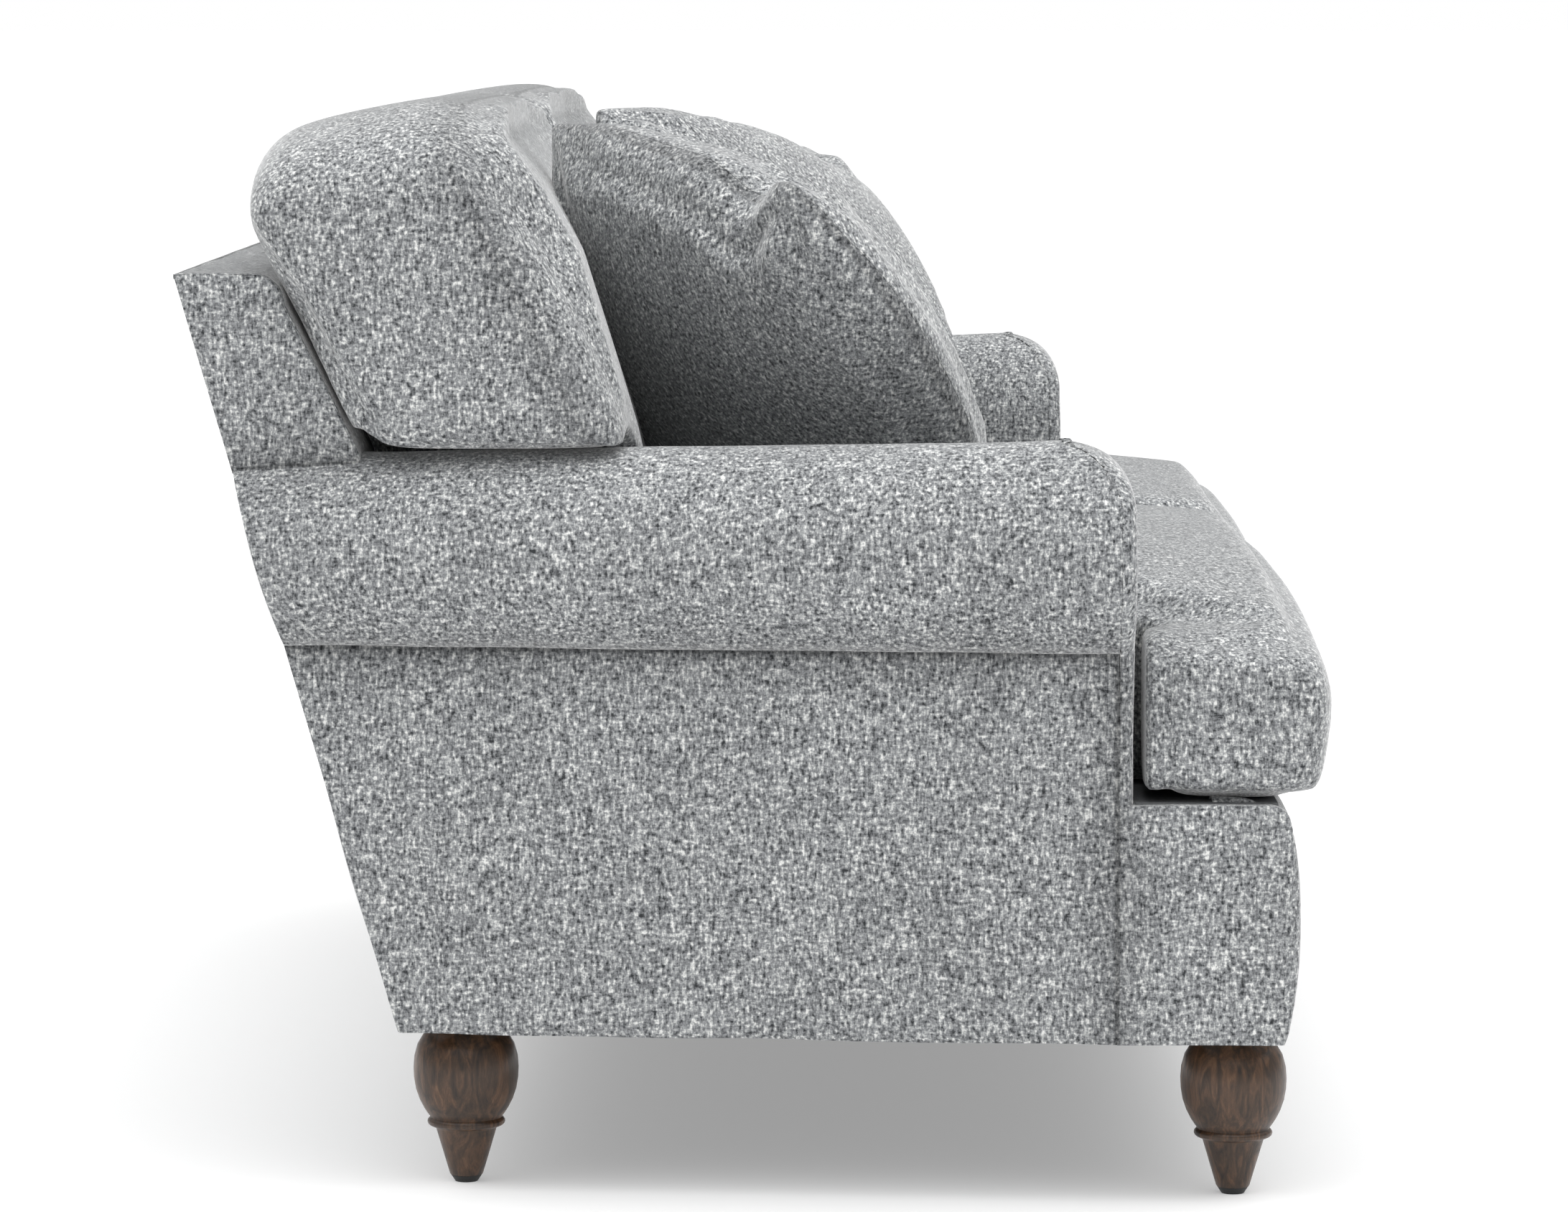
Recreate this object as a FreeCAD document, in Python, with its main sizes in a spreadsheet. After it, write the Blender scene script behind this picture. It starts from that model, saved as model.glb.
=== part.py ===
import FreeCAD, Part
import math
import os

from FreeCAD import Placement, Rotation, Vector

# English roll arm sofa with two T seat cushions, two back cushions that lap over the arms and two throw
# pillows. Millimetres, +Z up, the front faces -Y, and the origin is on the floor under the middle.
doc = FreeCAD.newDocument("english_roll_arm_sofa")
sheet = doc.addObject("Spreadsheet::Sheet", "sizes")

SIZES = {
    # the whole sofa
    "overall_width": 2130,
    "overall_depth": 1016,
    "body_bottom": 142,
    "cover_thickness": 2,
    "wadding": 12,
    # arms: an outward roll, larger in front than behind, on an outer panel that tapers in to the rear
    "arm_set_back": 190,
    "roll_radius_front": 99,
    "roll_radius_rear": 88.5,
    "roll_overhang": 45,
    "roll_underside": 485,
    "roll_rear_height": 629,
    "panel_taper": 70,
    "facing_depth": 15.5,
    "facing_round": 14,
    # raked back
    "back_height": 811,
    "rear_slope": 16.1,
    "back_top_depth": 66,
    "back_top_round": 27,
    "inner_slope": 26.7,
    "inner_lower_slope": 17.4,
    "inner_break_height": 657,
    "back_thickness": 116,
    "back_padding": 28,
    # front border
    "border_set_back": 29.5,
    "border_bow": 14,
    "border_round": 14,
    "border_corner": 25,
    # hardwood frame
    "frame_bottom": 144,
    "board": 24,
    "arm_board": 22,
    "side_rail_top": 330,
    "front_rail_set_back": 50,
    "back_rail_set_in": 228,
    "back_rail_height": 116,
    "seat_rail_height": 28,
    "seat_rail_depth": 28,
    "centre_rail_width": 44,
    "centre_rail_height": 60,
    "arm_board_foot": 200,
    "arm_top_rail_width": 36,
    "arm_top_rail_height": 28,
    "tack_rail_height": 28,
    "inner_post_centre": 310,
    "top_rail_height": 60,
    "corner_block_leg": 96,
    "corner_block_height": 50,
    "board_clearance": 0.5,
    # springing and deck
    "deck_top": 352.5,
    "deck_cloth": 1.5,
    "deck_pad": 7.5,
    "strap_width": 50,
    "strap_thickness": 2,
    "long_strap_count": 12,
    "cross_strap_count": 5,
    "back_strap_count": 5,
    "strap_margin": 4,
    "dust_cover_margin": 6,
    # turned legs, their plates, bolts and glides
    "leg_inset": 65,
    "front_leg_set_back": 84.5,
    "rear_leg_set_in": 250.5,
    "leg_bulb_radius": 46.9,
    "leg_bulb_height": 103,
    "leg_top_radius": 28,
    "leg_neck_radius": 32.5,
    "leg_neck_height": 59.5,
    "leg_groove": 2,
    "leg_ring_radius": 34.6,
    "leg_ring_height": 53.5,
    "leg_taper_radius": 27,
    "leg_taper_height": 48,
    "leg_tip_radius": 14,
    "glide_radius": 10,
    "glide_height": 6,
    "plate_side": 70,
    "plate_thickness": 3,
    "plate_clearance": 0.5,
    "bolt_radius": 4,
    "bolt_in_leg": 32,
    "bolt_in_block": 40,
    "bolt_clearance": 0.2,
    # loose cushions
    "rest_gap": 0.4,
    "side_gap": 2.5,
    "centre_gap": 0.6,
    "cushion_round": 30,
    "cushion_draw_in": 17,
    "seat_edge_height": 534,
    "seat_crown": 18,
    "seat_front_round": 44,
    "seat_front_bow": 8,
    "seat_ear_set_back": 8,
    "seat_ear_gap": 8.5,
    "back_cushion_rise": 139,
    "back_cushion_depth": 254,
    "back_cushion_crown": 30,
    "back_cushion_gap": 8,
    "back_cushion_fall": 25,
    "back_cushion_belly": 82,
    "back_cushion_shoulder": 55,
    "back_cushion_ear": 35,
    "core_wrap": 28,
    "pillow_side": 430,
    "pillow_thickness": 150,
    "pillow_fill_wrap": 9,
    "pillow_turn": 36,
    "pillow_lean": 34,
    "pillow_roll": 5,
    "pillow_from_arm": 257,
    "pillow_from_back": 352,
    "pillow_rise": 191.1,
}

for row, (name, value) in enumerate(SIZES.items(), start=1):
    sheet.set(f"A{row}", name.replace("_", " "))
    sheet.set(f"B{row}", str(value))
    sheet.setAlias(f"B{row}", name)
doc.recompute()


def size(name):
    """One driving dimension, read from the spreadsheet."""
    return float(sheet.get(name))


# Three drawing planes: an outline's two numbers are (x, y), (x, z) or (y, z), and a pad grows along +Z,
# -Y or +X.
PLAN, FRONT, SIDE = "XY_Plane", "XZ_Plane", "YZ_Plane"
TURN = {
    PLAN: Rotation(),
    FRONT: Rotation(Vector(1, 0, 0), 90),
    SIDE: Rotation(Vector(1, 1, 1), 120),
}
finished = []


def draw(sketch, path):
    """Draws a closed outline: points are joined by lines, and a (through, end) pair is an arc."""
    here = path[0]
    for step in path[1:] + [path[0]]:
        start = Vector(*here, 0)
        if isinstance(step[0], tuple):
            through, here = step
            sketch.addGeometry(Part.Arc(start, Vector(*through, 0), Vector(*here, 0)), False)
        elif math.dist(here, step) > 1e-6:
            here = step
            sketch.addGeometry(Part.LineSegment(start, Vector(*here, 0)), False)


def eased(corner, leave, arrive):
    """Rounds a corner off with an arc from a point before it to a point after it."""
    share = 1 - math.sqrt(0.5)
    through = tuple(c + share * (a - c + b - c) for c, a, b in zip(corner, leave, arrive))
    return [leave, (through, arrive)]


def board(name, plane, path, length, start=0.0, bound=None):
    """A sawn or cut piece: an outline on one of the body's own planes, padded by a length.

    bound is the spreadsheet expression that drives the length.
    """
    body = doc.addObject("PartDesign::Body", name)
    outline = body.newObject("Sketcher::SketchObject", name + "_outline")
    base = next(f for f in body.Origin.OriginFeatures if f.Role == plane)
    outline.AttachmentSupport = (base, [""])
    outline.MapMode = "FlatFace"
    outline.AttachmentOffset = Placement(Vector(0, 0, start), Rotation())
    draw(outline, path)
    pad = body.newObject("PartDesign::Pad", name + "_pad")
    pad.Profile = outline
    pad.Length = length
    if bound:
        pad.setExpression("Length", bound)
    return body


def section(name, plane, offset, path):
    """A free outline on a drawing plane moved along its normal, for lofts."""
    sketch = doc.addObject("Sketcher::SketchObject", name)
    turn = TURN[plane]
    sketch.Placement = Placement(turn.multVec(Vector(0, 0, offset)), turn)
    draw(sketch, path)
    return sketch


def loft(name, sections, ruled=True):
    form = doc.addObject("Part::Loft", name)
    form.Sections = sections
    form.Solid = True
    form.Ruled = ruled
    return form


def cut(name, base, *tools):
    """Takes the tools away from the base, one after another."""
    for number, tool in enumerate(tools, start=1):
        step = doc.addObject("Part::Cut", f"{name}_cut{number}")
        step.Base = base
        step.Tool = tool
        step.Refine = False
        base = step
    return base


def common(name, *shapes):
    form = doc.addObject("Part::MultiCommon", name)
    form.Shapes = list(shapes)
    return form


def group(name, members):
    form = doc.addObject("Part::Compound", name)
    form.Links = members
    return form


def mirror(name, source):
    """The same piece on the other side of the sofa's middle plane."""
    form = doc.addObject("Part::Mirroring", name)
    form.Source = source
    form.Normal = Vector(1, 0, 0)
    return form


def finish(label, form):
    form.Label = label
    finished.append(form)
    return form


def pair(label, form):
    """Finishes a piece of the sitter's left side and its mirror image on the right."""
    right = mirror(label + "_mirror", form)
    return finish(label + "_left", form), finish(label + "_right", right)


# Places that follow from the driving dimensions
COVER = size("cover_thickness")
PAD = COVER + size("wadding")
RAIL = size("board")
FLOOR = size("frame_bottom")
HALF_DEPTH = size("overall_depth") / 2
FRONT_PANEL = size("overall_width") / 2 - size("roll_overhang")
ARM_INNER = size("overall_width") / 2 - 2 * size("roll_radius_front")
ARM_FRONT = -HALF_DEPTH + size("arm_set_back")
RAIL_FRONT = -HALF_DEPTH + size("front_rail_set_back")
BACK_FACE = HALF_DEPTH - size("back_rail_set_in")
REAR_TAN = math.tan(math.radians(size("rear_slope")))
INNER_TAN = math.tan(math.radians(size("inner_slope")))
LOWER_TAN = math.tan(math.radians(size("inner_lower_slope")))
STRAP = size("strap_thickness")
LONG_STRAP_FOOT = size("deck_top") - size("deck_cloth") - size("deck_pad") - STRAP
CROSS_STRAP_FOOT = LONG_STRAP_FOOT - STRAP
ARM_FOOT = LONG_STRAP_FOOT + STRAP
FAR = 3000.0
MARGIN = 20.0


def rear(height, inset=0.0):
    """Depth of the raked rear face at a height, moved in by an inset."""
    lean = math.hypot(1, REAR_TAN)
    return HALF_DEPTH - (size("back_height") - height) * REAR_TAN - inset * lean


def inner(height, inset=0.0):
    """Depth of the inside back face at a height, which breaks to a steeper line low down."""
    slope = INNER_TAN if height > size("inner_break_height") else LOWER_TAN
    rise = height - size("inner_break_height")
    break_depth = rear(size("inner_break_height")) - size("back_thickness")
    return break_depth + rise * slope + inset * math.hypot(1, slope)


ARM_REAR = rear(size("roll_rear_height"))
BACK_HALF = FRONT_PANEL - size("panel_taper")


def panel(depth):
    """Half width at the outer arm panel, which tapers from the arm front to the rear of the roll."""
    along = (depth - ARM_FRONT) / (ARM_REAR - ARM_FRONT)
    return FRONT_PANEL - max(along, 0.0) * size("panel_taper")


def roll(depth):
    """Radius and centre of the roll at a depth."""
    along = (depth - ARM_FRONT) / (ARM_REAR - ARM_FRONT)
    radius = size("roll_radius_front") + max(along, 0.0) * (
        size("roll_radius_rear") - size("roll_radius_front")
    )
    reach = radius - size("roll_overhang")
    centre = Vector(panel(depth) - reach, size("roll_underside") + math.sqrt(radius**2 - reach**2), 0)
    return radius, centre


def arc_point(centre, radius, degrees):
    angle = math.radians(degrees)
    return (centre.x + radius * math.cos(angle), centre.y + radius * math.sin(angle))


def arm_outline(depth, inset, foot):
    """Arm cross-section: up the inside, over the roll, under its outer side and down the outer panel."""
    radius, centre = roll(depth)
    round_in = centre.x - ARM_INNER - inset
    radius -= inset
    side = panel(depth) - inset
    under = -math.degrees(math.acos((side - centre.x) / radius))
    crown = Vector(centre.x, centre.y + radius - round_in, 0)
    return [
        (ARM_INNER + inset, foot),
        (ARM_INNER + inset, crown.y),
        (arc_point(crown, round_in, 135), (centre.x, centre.y + radius)),
        (arc_point(centre, radius, 45), (centre.x + radius, centre.y)),
        (arc_point(centre, radius, under / 2), arc_point(centre, radius, under)),
        (side, foot),
    ]


def behind(name, inset):
    """All the space behind the raked rear face."""
    path = [(rear(-FAR, inset), -FAR), (FAR, -FAR), (FAR, FAR), (rear(FAR, inset), FAR)]
    return board(name, SIDE, path, 2 * FAR, -FAR)


def arm_block(name, inset):
    """The left arm as one solid, drawn in all round by an inset, up to the raked rear face."""
    ends = [
        section(f"{name}_{tag}", FRONT, -depth, arm_outline(depth, inset, ARM_FOOT))
        for tag, depth in (("front", ARM_FRONT + inset), ("rear", HALF_DEPTH + MARGIN))
    ]
    return cut(name, loft(name + "_loft", ends), behind(name + "_behind", inset + COVER))


arm_outer = arm_block("arm_outer", 0.0)
arm_padded = arm_block("arm_padded", COVER)
arm_frame = arm_block("arm_frame", PAD)


def outer_strip(name, out, inward, foot, top, front, back):
    """A slab along the tapered outer panel, from `out` outside its face to `inward` inside it."""
    path = [
        (panel(front) - inward, front),
        (panel(front) + out, front),
        (panel(back) + out, back),
        (panel(back) - inward, back),
    ]
    return board(name, PLAN, path, top - foot, foot)


# Hardwood frame: side rails follow the taper, the front rail caps them, and the back rail runs between
SIDE_FRONT = RAIL_FRONT + RAIL


def plan_rail(depth):
    return panel(depth) - COVER


side_rail_path = [
    (plan_rail(SIDE_FRONT) - RAIL, SIDE_FRONT),
    (plan_rail(SIDE_FRONT), SIDE_FRONT),
    (plan_rail(ARM_FRONT), ARM_FRONT),
    (plan_rail(BACK_FACE + RAIL), BACK_FACE + RAIL),
    (plan_rail(BACK_FACE + RAIL) - RAIL, BACK_FACE + RAIL),
    (plan_rail(ARM_FRONT) - RAIL, ARM_FRONT),
]
side_rail = board(
    "side_rail", PLAN, side_rail_path, size("side_rail_top") - FLOOR, FLOOR,
    "sizes.side_rail_top - sizes.frame_bottom",
)
pair("side_rail", side_rail)

front_half = FRONT_PANEL - PAD
front_rail = board(
    "front_rail", FRONT,
    [
        (-front_half, FLOOR),
        (front_half, FLOOR),
        (front_half, LONG_STRAP_FOOT),
        (-front_half, LONG_STRAP_FOOT),
    ],
    RAIL, -SIDE_FRONT, "sizes.board",
)
finish("front_rail", front_rail)

back_half = plan_rail(BACK_FACE + RAIL) - RAIL
back_rail_top = FLOOR + size("back_rail_height")
back_rail = board(
    "back_rail", PLAN,
    [
        (-plan_rail(BACK_FACE) + RAIL, BACK_FACE),
        (plan_rail(BACK_FACE) - RAIL, BACK_FACE),
        (back_half, BACK_FACE + RAIL),
        (-back_half, BACK_FACE + RAIL),
    ],
    size("back_rail_height"), FLOOR, "sizes.back_rail_height",
)
finish("back_rail", back_rail)

centre_rail = doc.addObject("Part::Box", "centre_rail")
centre_rail.setExpression("Length", "sizes.centre_rail_width")
centre_rail.setExpression("Height", "sizes.centre_rail_height")
centre_rail.setExpression(
    "Width", "sizes.overall_depth - sizes.back_rail_set_in - sizes.front_rail_set_back - sizes.board"
)
centre_rail.setExpression("Placement.Base.x", "-sizes.centre_rail_width / 2")
centre_rail.setExpression(
    "Placement.Base.y", "sizes.board + sizes.front_rail_set_back - sizes.overall_depth / 2"
)
centre_rail.setExpression("Placement.Base.z", "sizes.frame_bottom")
finish("centre_rail", centre_rail)

seat_rail_face = BACK_FACE - size("seat_rail_depth")
seat_rail = board(
    "back_seat_rail", PLAN,
    [
        (-ARM_INNER - PAD, seat_rail_face),
        (ARM_INNER + PAD, seat_rail_face),
        (ARM_INNER + PAD, BACK_FACE),
        (-ARM_INNER - PAD, BACK_FACE),
    ],
    size("seat_rail_height"), LONG_STRAP_FOOT - size("seat_rail_height"), "sizes.seat_rail_height",
)
finish("back_seat_rail", seat_rail)


# Back posts are sawn to both slopes of the back, stand on the back rail and carry the top rail
POST_INSET = COVER + size("back_padding")
top_rail_foot = size("back_height") - PAD - size("top_rail_height")
top_rail_top = size("back_height") - PAD


def post_face(height):
    """Depth of the frame's inner face, behind the back padding."""
    return max(inner(height, POST_INSET), BACK_FACE)


break_height = size("inner_break_height")
foot_height = break_height - (inner(break_height, POST_INSET) - BACK_FACE) / LOWER_TAN
post_path = [
    (BACK_FACE, back_rail_top),
    (BACK_FACE, foot_height),
    (post_face(break_height), break_height),
    (post_face(top_rail_foot), top_rail_foot),
    (rear(top_rail_foot, COVER), top_rail_foot),
    (rear(back_rail_top, COVER), back_rail_top),
]
outer_post_x = BACK_HALF - PAD - RAIL
outer_post = board("back_post", SIDE, post_path, RAIL, outer_post_x, "sizes.board")
pair("back_post", outer_post)
inner_post = board(
    "inner_post", SIDE, post_path, RAIL, size("inner_post_centre") - RAIL / 2, "sizes.board"
)
finish("back_posts_inner", group("back_posts_inner", [inner_post, mirror("inner_post_mirror", inner_post)]))

top_rail_path = [
    (post_face(top_rail_foot), top_rail_foot),
    (post_face(top_rail_top), top_rail_top),
    (rear(top_rail_top, COVER), top_rail_top),
    (rear(top_rail_foot, COVER), top_rail_foot),
]
top_rail_half = BACK_HALF - PAD
top_rail = board("back_top_rail", SIDE, top_rail_path, 2 * top_rail_half, -top_rail_half)
finish("back_top_rail", top_rail)


# Arm boards are scroll shaped, stand inside the side rails and are notched over them
def arm_board(name, front):
    back = front + size("arm_board")
    path = arm_outline(back, PAD + size("board_clearance"), size("side_rail_top"))
    step = plan_rail(back) - RAIL
    path += [
        (step, size("side_rail_top")),
        (step, size("arm_board_foot")),
        (path[0][0], size("arm_board_foot")),
    ]
    return board(name, FRONT, path, size("arm_board"), -back, "sizes.arm_board")


front_board_y = ARM_FRONT + PAD
rear_board_y = seat_rail_face - size("arm_board")
pair("arm_front_board", arm_board("arm_front_board", front_board_y))
pair("arm_rear_board", arm_board("arm_rear_board", rear_board_y))

between_front = front_board_y + size("arm_board")
between_back = rear_board_y


def roll_middle(depth):
    return roll(depth)[1].x


half_top_rail = size("arm_top_rail_width") / 2
arm_rail_path = [
    (roll_middle(between_front) - half_top_rail, between_front),
    (roll_middle(between_front) + half_top_rail, between_front),
    (roll_middle(between_back) + half_top_rail, between_back),
    (roll_middle(between_back) - half_top_rail, between_back),
]
rear_radius, rear_centre = roll(between_back)
round_in = rear_centre.x - ARM_INNER - PAD
crown_height = rear_centre.y + rear_radius - PAD - round_in
arm_rail_top = crown_height + math.sqrt(round_in**2 - half_top_rail**2) - size("board_clearance")
arm_rail = board(
    "arm_top_rail", PLAN, arm_rail_path, size("arm_top_rail_height"),
    arm_rail_top - size("arm_top_rail_height"), "sizes.arm_top_rail_height",
)
pair("arm_top_rail", arm_rail)

tack_path = [
    (ARM_INNER + PAD, between_front),
    (ARM_INNER + PAD + RAIL, between_front),
    (ARM_INNER + PAD + RAIL, between_back),
    (ARM_INNER + PAD, between_back),
]
tack_rail = board(
    "arm_tack_rail", PLAN, tack_path, size("tack_rail_height"),
    CROSS_STRAP_FOOT - size("tack_rail_height"), "sizes.tack_rail_height",
)
pair("arm_tack_rail", tack_rail)


# Corner blocks, each with a steel plate under it for the leg's hanger bolt
PLATE_FOOT = FLOOR - size("plate_thickness")
BOLT_HOLE = size("bolt_radius") + size("bolt_clearance")


def leg_place(depth):
    return Vector(panel(depth) - size("leg_inset"), depth, 0)


front_leg_at = leg_place(-HALF_DEPTH + size("front_leg_set_back"))
rear_leg_at = leg_place(HALF_DEPTH - size("rear_leg_set_in"))


def corner_block(name, rail_depth, toward):
    """A triangular block in a corner of the rails; `toward` is +1 in front and -1 behind."""
    run = size("corner_block_leg") * toward
    corner = plan_rail(rail_depth) - RAIL
    far = plan_rail(rail_depth + run) - RAIL
    path = [
        (corner, rail_depth),
        (far, rail_depth + run),
        (far - RAIL, rail_depth + run),
        (corner - size("corner_block_leg"), rail_depth + RAIL * toward),
        (corner - size("corner_block_leg"), rail_depth),
    ]
    return board(name, PLAN, path, size("corner_block_height"), FLOOR, "sizes.corner_block_height")


def cylinder(name, bound, height, at):
    form = doc.addObject("Part::Cylinder", name)
    form.setExpression("Radius", bound)
    form.Height = height
    form.Placement.Base = at
    return form


def leg_hardware(tag, at, block):
    """One leg's corner block with its hole, its plate and its hanger bolt."""
    hole = cylinder(f"{tag}_bolt_hole", "sizes.bolt_radius + sizes.bolt_clearance", FAR, at)
    plate = doc.addObject("Part::Box", f"{tag}_plate_blank")
    plate.setExpression("Length", "sizes.plate_side")
    plate.setExpression("Width", "sizes.plate_side")
    plate.setExpression("Height", "sizes.plate_thickness")
    half = size("plate_side") / 2
    plate.Placement.Base = Vector(at.x - half, at.y - half, PLATE_FOOT)
    bolt_length = size("bolt_in_leg") + size("plate_thickness") + size("bolt_in_block")
    bolt_at = Vector(at.x, at.y, PLATE_FOOT - size("bolt_in_leg"))
    bolt = cylinder(f"{tag}_bolt", "sizes.bolt_radius", bolt_length, bolt_at)
    return cut(f"{tag}_block", block, hole), cut(f"{tag}_plate", plate, hole), bolt


front_set = leg_hardware("front", front_leg_at, corner_block("front_block", SIDE_FRONT, 1))
rear_set = leg_hardware("rear", rear_leg_at, corner_block("rear_block", BACK_FACE, -1))
for label, ours in zip(("corner_blocks", "leg_plates", "hanger_bolts"), zip(front_set, rear_set)):
    mirrored = [mirror(f"{label}_mirror{number}", piece) for number, piece in enumerate(ours)]
    finish(label, group(label, list(ours) + mirrored))


# Turned legs: a bulb over a small ring and a taper, bored for the hanger bolt, on a plastic glide
def bulge(start, end, peak_radius, peak_height):
    """Mid point of the arc that leaves the bulb's widest line upright and reaches an end point."""
    rise = abs(end[1] - peak_height)
    drop = peak_radius - end[0]
    radius = (rise**2 + drop**2) / (2 * drop)
    angle = math.asin(rise / radius) / 2
    sign = 1 if end[1] > peak_height else -1
    return (peak_radius - radius * (1 - math.cos(angle)), peak_height + sign * radius * math.sin(angle))


def turned_leg(name, at):
    top = PLATE_FOOT
    glide_top = size("glide_height")
    wide = (size("leg_bulb_radius"), size("leg_bulb_height"))
    neck = (size("leg_neck_radius"), size("leg_neck_height"))
    crown = (size("leg_top_radius"), top)
    taper = (size("leg_taper_radius"), size("leg_taper_height"))
    ring = (size("leg_ring_radius"), size("leg_ring_height"))
    bore_foot = top - size("bolt_in_leg")
    groove = size("leg_groove")
    ring_under = (taper[0] + 0.75 * (ring[0] - taper[0]), (taper[1] + ring[1] - groove) / 2)
    path = [
        (0.0, glide_top),
        (size("leg_tip_radius"), glide_top),
        taper,
        (ring_under, ring),
        ((ring[0] - groove / 5, ring[1] + groove), (neck[0] - groove / 5, neck[1] - groove)),
        neck,
        (bulge(wide, neck, *wide), wide),
        (bulge(wide, crown, *wide), crown),
        (BOLT_HOLE, top),
        (BOLT_HOLE, bore_foot),
        (0.0, bore_foot),
    ]
    body = doc.addObject("PartDesign::Body", name)
    outline = body.newObject("Sketcher::SketchObject", name + "_outline")
    outline.AttachmentSupport = (next(f for f in body.Origin.OriginFeatures if f.Role == FRONT), [""])
    outline.MapMode = "FlatFace"
    draw(outline, path)
    turning = body.newObject("PartDesign::Revolution", name + "_turning")
    turning.Profile = outline
    turning.ReferenceAxis = (outline, ["V_Axis"])
    turning.Angle = 360
    body.Placement.Base = at
    return body


def glide(name, at):
    form = doc.addObject("Part::Cone", name)
    form.setExpression("Radius1", "sizes.glide_radius")
    form.setExpression("Radius2", "sizes.leg_tip_radius")
    form.setExpression("Height", "sizes.glide_height")
    form.Placement.Base = at
    return form


pair("front_leg", turned_leg("front_leg", front_leg_at))
pair("rear_leg", turned_leg("rear_leg", rear_leg_at))
glides = [glide("front_glide", front_leg_at), glide("rear_glide", rear_leg_at)]
glides += [mirror(f"glide_mirror{number}", piece) for number, piece in enumerate(glides)]
finish("leg_glides", group("leg_glides", glides))


# Webbing: long straps over the seat, cross straps under them, and straps up the back
def strap_places(count, half_span):
    """Even places for a number of straps across a span."""
    pitch = 2 * half_span / count
    return [-half_span + pitch * (number + 0.5) for number in range(int(count))]


def seat_strap(name, low_x, low_y, long_x, long_y, foot):
    form = doc.addObject("Part::Box", name)
    form.Length = long_x
    form.Width = long_y
    form.setExpression("Height", "sizes.strap_thickness")
    form.Placement.Base = Vector(low_x, low_y, foot)
    return form


WIDE = size("strap_width")
strap_front = RAIL_FRONT + size("strap_margin")
strap_run = BACK_FACE - size("strap_margin") - strap_front
long_straps = [
    seat_strap(f"long_strap{number}", x - WIDE / 2, strap_front, WIDE, strap_run, LONG_STRAP_FOOT)
    for number, x in enumerate(strap_places(size("long_strap_count"), ARM_INNER))
]
finish("seat_webbing_long", group("seat_webbing_long", long_straps))

cross_low = (between_front + between_back - WIDE) / 2
cross_reach = (between_back - between_front) / 2
cross_half = ARM_INNER + PAD + RAIL - size("strap_margin") / 2
cross_straps = [
    seat_strap(f"cross_strap{number}", -cross_half, cross_low + y, 2 * cross_half, WIDE, CROSS_STRAP_FOOT)
    for number, y in enumerate(strap_places(size("cross_strap_count"), cross_reach))
]
finish("seat_webbing_cross", group("seat_webbing_cross", cross_straps))

strap_lap = LONG_STRAP_FOOT - size("seat_rail_height")
back_strap_path = [
    (BACK_FACE, strap_lap),
    (BACK_FACE, foot_height),
    (post_face(break_height), break_height),
    (post_face(top_rail_foot), top_rail_foot),
    (post_face(top_rail_foot) + STRAP, top_rail_foot),
    (post_face(break_height) + STRAP, break_height),
    (BACK_FACE + STRAP, foot_height),
    (BACK_FACE + STRAP, strap_lap),
]
inner_post_edge = size("inner_post_centre") + RAIL / 2
outer_bay = (ARM_INNER - inner_post_edge) / 2
back_straps = []
for number, x in enumerate(strap_places(size("back_strap_count"), outer_bay)):
    middle = inner_post_edge + outer_bay + x
    start = middle - WIDE / 2
    strap = board(f"back_strap{number}", SIDE, back_strap_path, WIDE, start, "sizes.strap_width")
    back_straps += [strap, mirror(f"back_strap_mirror{number}", strap)]
for number, x in enumerate(strap_places(size("back_strap_count"), size("inner_post_centre") - RAIL / 2)):
    back_straps.append(
        board(f"middle_strap{number}", SIDE, back_strap_path, WIDE, x - WIDE / 2, "sizes.strap_width")
    )
finish("back_webbing", group("back_webbing", back_straps))


# Deck: a T-shaped felt pad and its cloth, under the seat cushions and out to the front corners
def deck_path():
    wing = FRONT_PANEL - PAD
    front = RAIL_FRONT
    corner = ARM_FRONT - size("facing_depth")
    back = inner(ARM_FOOT)
    return [
        (-wing, front), (wing, front), (wing, corner), (ARM_INNER, corner),
        (ARM_INNER, back), (-ARM_INNER, back), (-ARM_INNER, corner), (-wing, corner),
    ]


finish("deck_pad", board("deck_pad", PLAN, deck_path(), size("deck_pad"), ARM_FOOT, "sizes.deck_pad"))
finish(
    "deck_cloth",
    board(
        "deck_cloth", PLAN, deck_path(), size("deck_cloth"), size("deck_top") - size("deck_cloth"),
        "sizes.deck_cloth",
    ),
)


# Arm upholstery: wadding round the arm frame, the roll cover, the outer panel and the padded front
arm_padding = cut("arm_padding", arm_padded, arm_frame, outer_post)
pair("arm_padding", arm_padding)

seam = size("roll_underside")
panel_region = outer_strip(
    "panel_region", MARGIN, 2 * COVER, 0, seam, ARM_FRONT - 2 * MARGIN, HALF_DEPTH + MARGIN
)
roll_cover = cut("arm_roll_cover", arm_outer, arm_padded, panel_region, outer_post)
pair("arm_roll_cover", roll_cover)

panel_plate = outer_strip("panel_plate", 0, COVER, size("body_bottom"), seam, ARM_FRONT, HALF_DEPTH)
outer_panel = cut("arm_outer_panel", panel_plate, behind("panel_behind", COVER))
pair("arm_outer_panel", outer_panel)

facing_steps = ((0.0, 0.0), (0.55, 0.12), (0.9, 0.5), (1.0, 1.0))
facing_sections = []
for number, (out, drawn) in enumerate(facing_steps):
    depth = ARM_FRONT - out * size("facing_depth")
    path = arm_outline(ARM_FRONT, drawn * size("facing_round"), size("deck_top"))
    facing_sections.append(section(f"facing_section{number}", FRONT, -depth, path))
pair("arm_front_facing", loft("arm_front_facing", facing_sections))


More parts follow.
